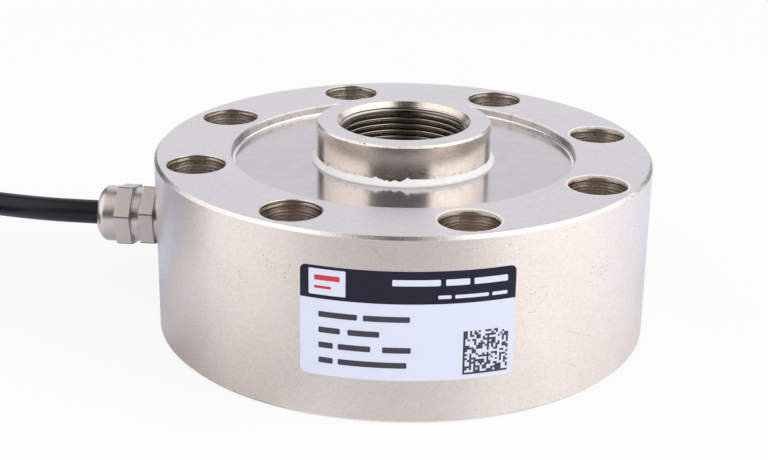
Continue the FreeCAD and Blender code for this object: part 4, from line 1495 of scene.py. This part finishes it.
@dataclass
class SideLabel:
    """The film on the side wall and its print; sizes in millimetres, across the film from its middle."""

    radius: float = 76.12
    angle: float = -82.5
    half: float = 30.0
    low: float = 13.2
    high: float = 45.5
    corner: float = 1.7
    band: float = 35.9
    ink: float = 0.02
    column: float = 1.2
    edge: float = 0.06
    clearance: float = 0.004
    sharp: float = 30.0
    block_cells: int = 21
    block_side: float = 13.0
    block_across: float = 21.7
    block_level: float = 21.0
    block_seed: int = 5

    def build(self) -> None:
        """Dress the film and lay its print on it."""
        smooth = {"skin_scale": 3.0, "skin_depth": 0.002}
        pale = MouldedMatter(
            "label_film", (0.71, 0.765, 0.94), 0.36, (0.70, 0.755, 0.93), 0.1, specular=0.35, **smooth
        ).material()
        navy = MouldedMatter(
            "navy_ink", (0.014, 0.013, 0.030), 0.38, (0.017, 0.016, 0.034), 0.1, specular=0.2, **smooth
        ).material()
        grey = MouldedMatter(
            "grey_ink", (0.045, 0.045, 0.065), 0.42, (0.060, 0.060, 0.08), 0.3, specular=0.25, **smooth
        ).material()
        red = MouldedMatter(
            "red_ink", (0.60, 0.035, 0.045), 0.40, (0.55, 0.03, 0.04), 0.3, **smooth
        ).material()
        dress("side_label", pale)
        side = self.half - self.edge
        header = [(-side, side, self.band, self.high - self.edge, self.corner, 0.0)]
        self.print_plates("label_band", header, 0, navy)
        self.print_plates("label_panel", [(-27.4, -17.0, 37.05, 44.55, 0.3, 0.3)], 1, pale)
        accents = [(-25.8, -18.6, 41.3, 42.8, 0.2, 0.2), (-25.8, -21.0, 38.9, 39.7, 0.2, 0.2)]
        self.print_plates("label_accent", accents, 2, red)
        headline = self.row(42.1, 1.8, (-4.4, 8.6), (10.0, 16.6), (17.8, 27.4))
        headline += self.row(37.9, 1.0, (8.0, 11.6), (12.6, 22.0), (23.0, 27.4))
        self.print_plates("label_headline", headline, 1, pale)
        bars = self.row(31.4, 1.7, (-24.6, -13.8), (-12.2, 0.5))
        bars += self.row(26.8, 1.7, (-24.6, -18.5), (-16.4, -7.7))
        bars += self.row(22.3, 1.7, (-24.6, -20.5), (-19.1, -10.1), (-6.9, 0.9))
        bars += self.row(17.8, 1.7, (-24.6, -20.5), (-19.1, -0.2))
        self.print_plates("label_lines", bars, 0, grey)
        values = {
            "Cells": self.block_cells,
            "Cell": self.block_side / self.block_cells * MM,
            "Thickness": self.ink * MM,
            "Radius": self.radius * MM,
            "Middle": math.radians(self.angle) + self.block_across / self.radius,
            "Height": self.block_level * MM,
            "Seed": self.block_seed,
        }
        block = grown_piece("label_block", self.block_tree(), values, grey, self.sharp)
        settle(block, "side_label")

    def row(self, level: float, height: float, *spans: Range) -> list[Plate]:
        """Plain bars in a row.

        Args:
            level: the height of the row's middle.
            height: the height of a bar.
            spans: where each bar starts and ends across the film.

        Returns:
            Plates as print_plates takes them.
        """
        return [(left, right, level - height / 2, level + height / 2, 0.3, 0.3) for left, right in spans]

    def on_wall(self, across: float, level: float, lift: float) -> Vector:
        """A point on the wrapped film, in metres."""
        return metres(polar(self.radius + lift, self.angle + math.degrees(across / self.radius), level))

    def print_plates(
        self, name: str, plates: Sequence[Plate], layer: int, material: bpy.types.Material
    ) -> None:
        """Thin plates of ink wrapped on the film.

        Args:
            name: the piece's name.
            plates: left, right, low, high, upper and lower corner radius of each plate.
            layer: how many layers of ink lie under it.
            material: the ink's finish.
        """
        under, over = (number * self.ink + self.clearance for number in (layer, layer + 1))
        points: list[Vector] = []
        faces: list[tuple[int, ...]] = []
        for left, right, low, high, corner, foot in plates:
            round_off = [corner * (1 - math.cos(math.radians(turn))) for turn in (0, 22.5, 45, 67.5, 90)]
            inner = max(1, math.ceil((right - left - 2 * corner) / self.column))
            middle = [left + corner + (right - left - 2 * corner) * k / inner for k in range(1, inner)]
            stops = [left + step for step in round_off] + middle
            stops += [right - step for step in reversed(round_off)]
            first = len(points)
            for stop in stops:
                reach = max(0.0, corner - min(stop - left, right - stop))
                cut = corner - math.sqrt(max(0.0, corner ** 2 - reach ** 2))
                cut = min(cut, corner - 0.01)
                for lift in (under, over):
                    points.append(self.on_wall(stop, low + cut * foot / corner, lift))
                    points.append(self.on_wall(stop, high - cut, lift))
            count = len(stops)
            for k in range(count - 1):
                a, b = first + 4 * k, first + 4 * (k + 1)
                faces += [(a + 2, b + 2, b + 3, a + 3), (a, a + 1, b + 1, b)]
                faces += [(a, b, b + 2, a + 2), (a + 1, a + 3, b + 3, b + 1)]
            last = first + 4 * (count - 1)
            faces += [(first, first + 2, first + 3, first + 1), (last, last + 1, last + 3, last + 2)]
        piece = mesh_piece(name, points, faces, material, self.sharp)
        face_outwards(piece)
        settle(piece, "side_label")

    def block_tree(self) -> bpy.types.NodeTree:
        """The rule of the dot block: chance dots on a square grid, wrapped on the wall.

        Returns:
            The geometry tree.
        """
        inputs = [("Cells", "NodeSocketInt")]
        inputs += [(name, "NodeSocketFloat") for name in ("Cell", "Thickness", "Radius", "Middle", "Height")]
        inputs += [("Seed", "NodeSocketInt"), ("Material", "NodeSocketMaterial")]
        sheet, given = geometry_tree("dot_block", inputs)
        size = given.outputs
        cells = size["Cells"]
        span = sheet.product(sheet.minus(cells, 1), size["Cell"])
        square = {"Size X": span, "Size Y": span, "Vertices X": cells, "Vertices Y": cells}
        grid = sheet.put("GeometryNodeMeshGrid", square).outputs["Mesh"]
        u, v, _ = sheet.split(sheet.put("GeometryNodeInputPosition").outputs[0])
        rim = sheet.minus(sheet.product(span, -0.5), sheet.product(size["Cell"], -0.5))
        edge = sheet.most(sheet.math("LESS_THAN", u, rim), sheet.math("LESS_THAN", v, rim))
        draw = sheet.put("FunctionNodeRandomValue", {"Seed": size["Seed"]}, data_type="FLOAT")
        kept = sheet.most(edge, sheet.math("LESS_THAN", draw.outputs["Value"], 0.5))
        dot_side = sheet.product(size["Cell"], 0.97)
        cube = sheet.join(dot_side, dot_side, size["Thickness"])
        dot = sheet.put("GeometryNodeMeshCube", {"Size": cube}).outputs[0]
        spread = {"Points": grid, "Selection": kept, "Instance": dot}
        dots = sheet.put("GeometryNodeInstanceOnPoints", spread).outputs[0]
        real = sheet.put("GeometryNodeRealizeInstances", {"Geometry": dots}).outputs[0]
        across, up, lift = sheet.split(sheet.put("GeometryNodeInputPosition").outputs[0])
        angle = sheet.total(size["Middle"], sheet.math("DIVIDE", across, size["Radius"]))
        radius = sheet.total(size["Radius"], sheet.product(size["Thickness"], 0.7), lift)
        place = sheet.join(
            sheet.product(radius, sheet.math("COSINE", angle)),
            sheet.product(radius, sheet.math("SINE", angle)),
            sheet.total(size["Height"], up),
        )
        wrapped = sheet.put("GeometryNodeSetPosition", {"Geometry": real, "Position": place}).outputs[0]
        return finish_tree(sheet, wrapped, size["Material"])


class Core(Enum):
    """The cores at the cable's free end: colour, place across and up in the jacket, and place in the fan."""

    RED = ("red", (0.55, 0.035, 0.03), 1, 1, 1)
    BLACK = ("black", (0.018, 0.018, 0.018), -1, 1, -1)
    GREEN = ("green", (0.03, 0.28, 0.08), 1, -1, 2)
    WHITE = ("white", (0.76, 0.76, 0.73), -1, -1, -2)
    SHIELD = ("shield", (0.52, 0.52, 0.53), 0, 0, 0)


@dataclass
class SignalCable:
    """The cable, its coil, the tie and the stripped end; sizes in millimetres."""

    diameter: float = 7.6
    length: float = 3.0
    gland_height: float = 28.75
    start: float = -81.05
    nose: float = -96.8
    run_out: float = 4.0
    first_bend: Range = (-116.0, 0.0)
    second_bend: Range = (-145.0, 10.0)
    run_in: float = 50.0
    line_up: float = 26.0
    touch: float = 6.4
    mean_turn: float = 41.0
    columns: int = 3
    layers: int = 4
    entry: float = 65.0
    leave: float = 40.0
    tail: float = 29.0
    knot_step: float = 15.0
    change_half: float = 16.0
    tie_at: float = 250.0
    tie_width: float = 10.0
    tie_thickness: float = 0.8
    tie_corner: float = 3.4
    tie_squeeze: float = 12.0
    lap_from: float = 5.0
    core: float = 1.3
    core_spread: float = 1.3
    core_lift: float = 0.1
    core_straight: float = 9.0
    core_landing: float = 22.0
    core_reach: float = 34.0
    fan_pitch: float = 3.0

    def build(self) -> None:
        """Lay the cable, tie its coil and fan out its cores."""
        jacket = MouldedMatter(
            "jacket", (0.005, 0.006, 0.011), 0.36, second=(0.008, 0.009, 0.015), tone_scale=0.5,
            skin_scale=2.5, specular=0.30,
        )
        cord = self.cord(jacket.material())
        settle(cord, "cable_jacket", "cable", "cable_coil")
        band = self.tie()
        settle(band, "tie_band", "coil_tie")
        strand = PolishedMetal("bare_strand", (0.72, 0.62, 0.52), 0.3, grain_scale=2.0, grain_depth=0.01)
        bare = strand.material()
        leads = [self.lead(core, bare) for core in Core]
        held = [bpy.data.objects[name] for name in ("gland_base", "gland_cap")]
        held += [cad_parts[node] for node in ("gland_washer", "gland_claw", "gland_seal", "cable_cores")]

    def heading(self, degrees: float) -> Vector:
        """The direction of travel round the coil at this angle."""
        return polar(1, degrees + 90)

    def outer_turn(self) -> float:
        """The radius of the outermost turn."""
        return self.mean_turn + (self.columns - 1) / 2 * self.diameter

    def turn_on(self) -> Vector:
        """Where the cable comes onto the coil, on the floor plan."""
        return Vector((*self.second_bend, 0)) + self.heading(self.entry) * self.run_in

    def centre(self) -> Vector:
        """The coil's middle on the floor."""
        return self.turn_on() - polar(self.outer_turn(), self.entry)

    def slots(self) -> list[Range]:
        """The radius and the height of each turn, in the order in which they are wound."""
        radii = [self.mean_turn + (k - (self.columns - 1) / 2) * self.diameter for k in range(self.columns)]
        order = []
        for layer in range(self.layers):
            level = (self.layers - layer - 0.5) * self.diameter
            order += [(radius, level) for radius in (radii if layer % 2 else reversed(radii))]
        return order

    def winding(self) -> list[Vector]:
        """The coil's control points: each turn steps once to the next place, never beside another step.

        Returns:
            Points in millimetres.
        """
        slots = self.slots()
        turns = len(slots) - 1
        sweep = 360 * turns - (self.entry - self.leave)
        step = self.knot_step
        count = round((sweep - step) / step) + 1
        pace = (sweep - step) / (count - 1)
        swell = 1 / (0.75 + 0.25 * math.cos(math.radians(pace)))
        centre = self.centre()
        points = []
        for k in range(count):
            swept = step / 2 + k * pace
            radius, level = slots[0]
            for turn in range(1, turns + 1):
                change = 360 * (turn - 1) + 360 * (turns - turn + 0.5) / turns
                share = min(1.0, max(0.0, (swept - change) / (2 * self.change_half) + 0.5))
                share = share * share * (3 - 2 * share)
                radius += share * (slots[turn][0] - slots[turn - 1][0])
                level += share * (slots[turn][1] - slots[turn - 1][1])
            degrees = self.entry + swept
            from_tie = (degrees - self.tie_at + 180) % 360 - 180
            under = 1 - level / (self.layers * self.diameter)
            lift = self.tie_thickness * under * math.exp(-(from_tie / self.tie_squeeze) ** 2)
            points.append(centre + polar(radius * swell, degrees, level + lift))
        return points

    def cord(self, material: bpy.types.Material) -> bpy.types.Object:
        """The whole cable as one smooth spline, from inside the gland to its cut end.

        Args:
            material: the jacket's finish.

        Returns:
            The cable.
        """
        top = (self.layers - 0.5) * self.diameter
        low = self.diameter / 2
        arrive = self.turn_on() + Vector((0, 0, top))
        leave = self.centre() + polar(self.outer_turn(), self.leave, low)
        ahead, away = self.heading(self.entry), self.heading(self.leave)
        points = [
            Vector((self.start, 0, self.gland_height)),
            Vector((self.nose - self.run_out, 0, self.gland_height)),
            Vector((*self.first_bend, self.gland_height)),
            Vector((*self.second_bend, top)),
            arrive - ahead * self.line_up,
            arrive - ahead * self.touch,
            *self.winding(),
            leave + away * self.touch,
            leave + away * self.tail,
        ]
        return nurbs_piece("signal_cable", points, self.diameter / 2, material)

    def tie(self) -> bpy.types.Object:
        """The band round the turns, lapped over itself on the outside.

        Returns:
            The band.
        """
        finish = PatternedFilm(
            "woven_band", (0.015, 0.015, 0.017), (0.035, 0.035, 0.04), 0.9, roughness=0.8, depth=0.12,
            crossed=True,
        )
        half = self.columns * self.diameter / 2
        inner, outer = self.mean_turn - half, self.mean_turn + half
        thick, top = self.tie_thickness, self.layers * self.diameter
        loop = self.rounded_loop(inner, outer, thick, top, self.tie_corner)
        points, faces = self.band_mesh(loop, 0.0, thick, True, 0)
        lap = [spot for spot in loop if spot[0] > self.mean_turn and self.lap_from < spot[1] < top]
        lap_points, lap_faces = self.band_mesh(lap, thick, 2 * thick, False, len(points))
        piece = mesh_piece("coil_band", points + lap_points, faces + lap_faces, finish.material(), 40.0)
        face_outwards(piece)
        return piece

    def rounded_loop(self, left: float, right: float, low: float, high: float, corner: float) -> list[Edge]:
        """A rounded rectangle, anticlockwise, as places with their outward ways.

        Args:
            left, right: its sides.
            low, high: its foot and its top.
            corner: the radius of its corners.

        Returns:
            Radius, height and the outward way in both, for each place.
        """
        spots = []
        corners = [(right, low, -90), (right, high, 0), (left, high, 90), (left, low, 180)]
        for side, level, start in corners:
            mid_r = side - math.copysign(corner, side - (left + right) / 2)
            mid_z = level - math.copysign(corner, level - (low + high) / 2)
            for turn in range(0, 91, 15):
                way = polar(1, start + turn)
                spots.append((mid_r + corner * way.x, mid_z + corner * way.y, way.x, way.y))
        return spots

    def band_mesh(self, loop: Sequence[Edge], under: float, over: float, closed: bool, first: int) -> Shell:
        """A strip of band along a loop.

        Args:
            loop: places with their outward ways.
            under, over: how far the strip's two sides stand off the loop.
            closed: whether it ends where it starts.
            first: the number of its first point.

        Returns:
            Its points and its faces.
        """
        centre = self.centre()
        across, out = polar(1, self.tie_at + 90), polar(1, self.tie_at)
        half = self.tie_width / 2
        points = []
        for radius, level, way_r, way_z in loop:
            for lift, side in ((under, -half), (under, half), (over, half), (over, -half)):
                spot = centre + out * (radius + way_r * lift) + across * side
                points.append(metres((spot.x, spot.y, level + way_z * lift)))
        count = len(loop)
        faces = []
        for k in range(count if closed else count - 1):
            a, b = first + 4 * k, first + 4 * ((k + 1) % count)
            faces += [(a + j, a + (j + 1) % 4, b + (j + 1) % 4, b + j) for j in range(4)]
        if not closed:
            faces += [tuple(first + j for j in range(4)), tuple(first + 4 * count - 1 - j for j in range(4))]
        return points, faces

    def lead(self, core: Core, bare: bpy.types.Material) -> bpy.types.Object:
        """One stripped core: its insulation and its twisted strands.

        Args:
            core: which core.
            bare: the strands' finish.

        Returns:
            The core as one mesh.
        """
        label, colour, across, height, fan = core.value
        ahead, aside, up = self.heading(self.leave), polar(1, self.leave), Vector((0, 0, 1))
        start = self.centre() + polar(self.outer_turn(), self.leave, self.diameter / 2 + self.core_lift)
        start += ahead * self.tail
        first = start + aside * across * self.core_spread + up * height * self.core_spread
        outward = aside * fan * self.fan_pitch
        landing = start + ahead * self.core_landing + outward
        last = start + ahead * self.core_reach + outward * (self.core_reach / self.core_landing)
        landing.z = last.z = self.core / 2
        if core is Core.SHIELD:
            skin = PatternedFilm(
                "shield_weave", (0.42, 0.42, 0.43), colour, 0.5, crossed=True, roughness=0.35
            )
        else:
            skin = MouldedMatter(label + "_insulation", colour, 0.38)
        route = [first, first + ahead * self.core_straight, landing, last]
        tube = nurbs_piece(label + "_core", route, self.core / 2, skin.material())
        graph = bpy.context.evaluated_depsgraph_get()
        mesh = bpy.data.meshes.new_from_object(tube.evaluated_get(graph), depsgraph=graph)
        bpy.data.objects.remove(tube)
        piece = bpy.data.objects.new(label + "_core", mesh)
        bpy.context.scene.collection.objects.link(piece)
        mesh.materials.append(bare)
        self.add_strands(mesh, last, (last - landing).normalized())
        shade(mesh, 40.0)
        return settle(piece, "shield_braid" if core is Core.SHIELD else "lead_" + label, "lead_" + label)

    def add_strands(self, mesh: bpy.types.Mesh, foot: Vector, way: Vector) -> None:
        """Add the bare twisted strands to a core's mesh.

        Args:
            mesh: the core's mesh, whose second finish is the bare wire's.
            foot: where the insulation ends.
            way: the direction in which the strands go on.
        """
        strand, ring, length, sunk, twist = 0.11, 0.22, 6.0, 0.4, 1.1
        count, sides, steps = 7, 6, 18
        side = way.cross(Vector((0, 0, 1))).normalized()
        up = side.cross(way)
        work = bmesh.new()
        work.from_mesh(mesh)
        for number in range(count):
            rows = []
            for step in range(steps + 1):
                share = step / steps
                turn = 2 * math.pi * (number / (count - 1) + twist * share)
                offset = ring if number else 0.0
                middle = foot + way * (length * share - sunk)
                middle += (side * math.cos(turn) + up * math.sin(turn)) * offset
                rim = []
                for k in range(sides):
                    around = 2 * math.pi * k / sides
                    spot = middle + (side * math.cos(around) + up * math.sin(around)) * strand
                    rim.append(work.verts.new(metres(spot)))
                rows.append(rim)
            for here, there in zip(rows, rows[1:]):
                for k in range(sides):
                    after = (k + 1) % sides
                    work.faces.new((here[k], here[after], there[after], there[k])).material_index = 1
            work.faces.new(tuple(reversed(rows[0]))).material_index = 1
            work.faces.new(tuple(rows[-1])).material_index = 1
        bmesh.ops.recalc_face_normals(work, faces=work.faces)
        work.to_mesh(mesh)
        work.free()


def nurbs_piece(
    name: str, points: Sequence[Vector], radius: float, material: bpy.types.Material
) -> bpy.types.Object:
    """A round cord on one smooth spline.

    Args:
        name: the piece's name.
        points: the spline's control points in millimetres.
        radius: the cord's radius in millimetres.
        material: its finish.

    Returns:
        The cord, in the scene.
    """
    data = bpy.data.curves.new(name, "CURVE")
    data.dimensions = "3D"
    spline = data.splines.new("NURBS")
    spline.points.add(len(points) - 1)
    for knot, point in zip(spline.points, points):
        knot.co = (*metres(point), 1.0)
    spline.order_u = 3
    spline.use_endpoint_u = True
    spline.resolution_u = 6
    data.resolution_u = 6
    data.bevel_depth = radius * MM
    data.bevel_resolution = 6
    data.use_fill_caps = True
    data.materials.append(material)
    piece = bpy.data.objects.new(name, data)
    bpy.context.scene.collection.objects.link(piece)
    return piece


def main() -> None:
    """Build the studio and every sub-assembly."""
    logging.basicConfig(level=logging.INFO, format="%(name)s: %(message)s")
    Studio().build()
    for assembly in (SpokeElement(), Covers(), Bridge(), Gland(), SideLabel(), SignalCable()):
        assembly.build()


if __name__ == "__main__":
    main()
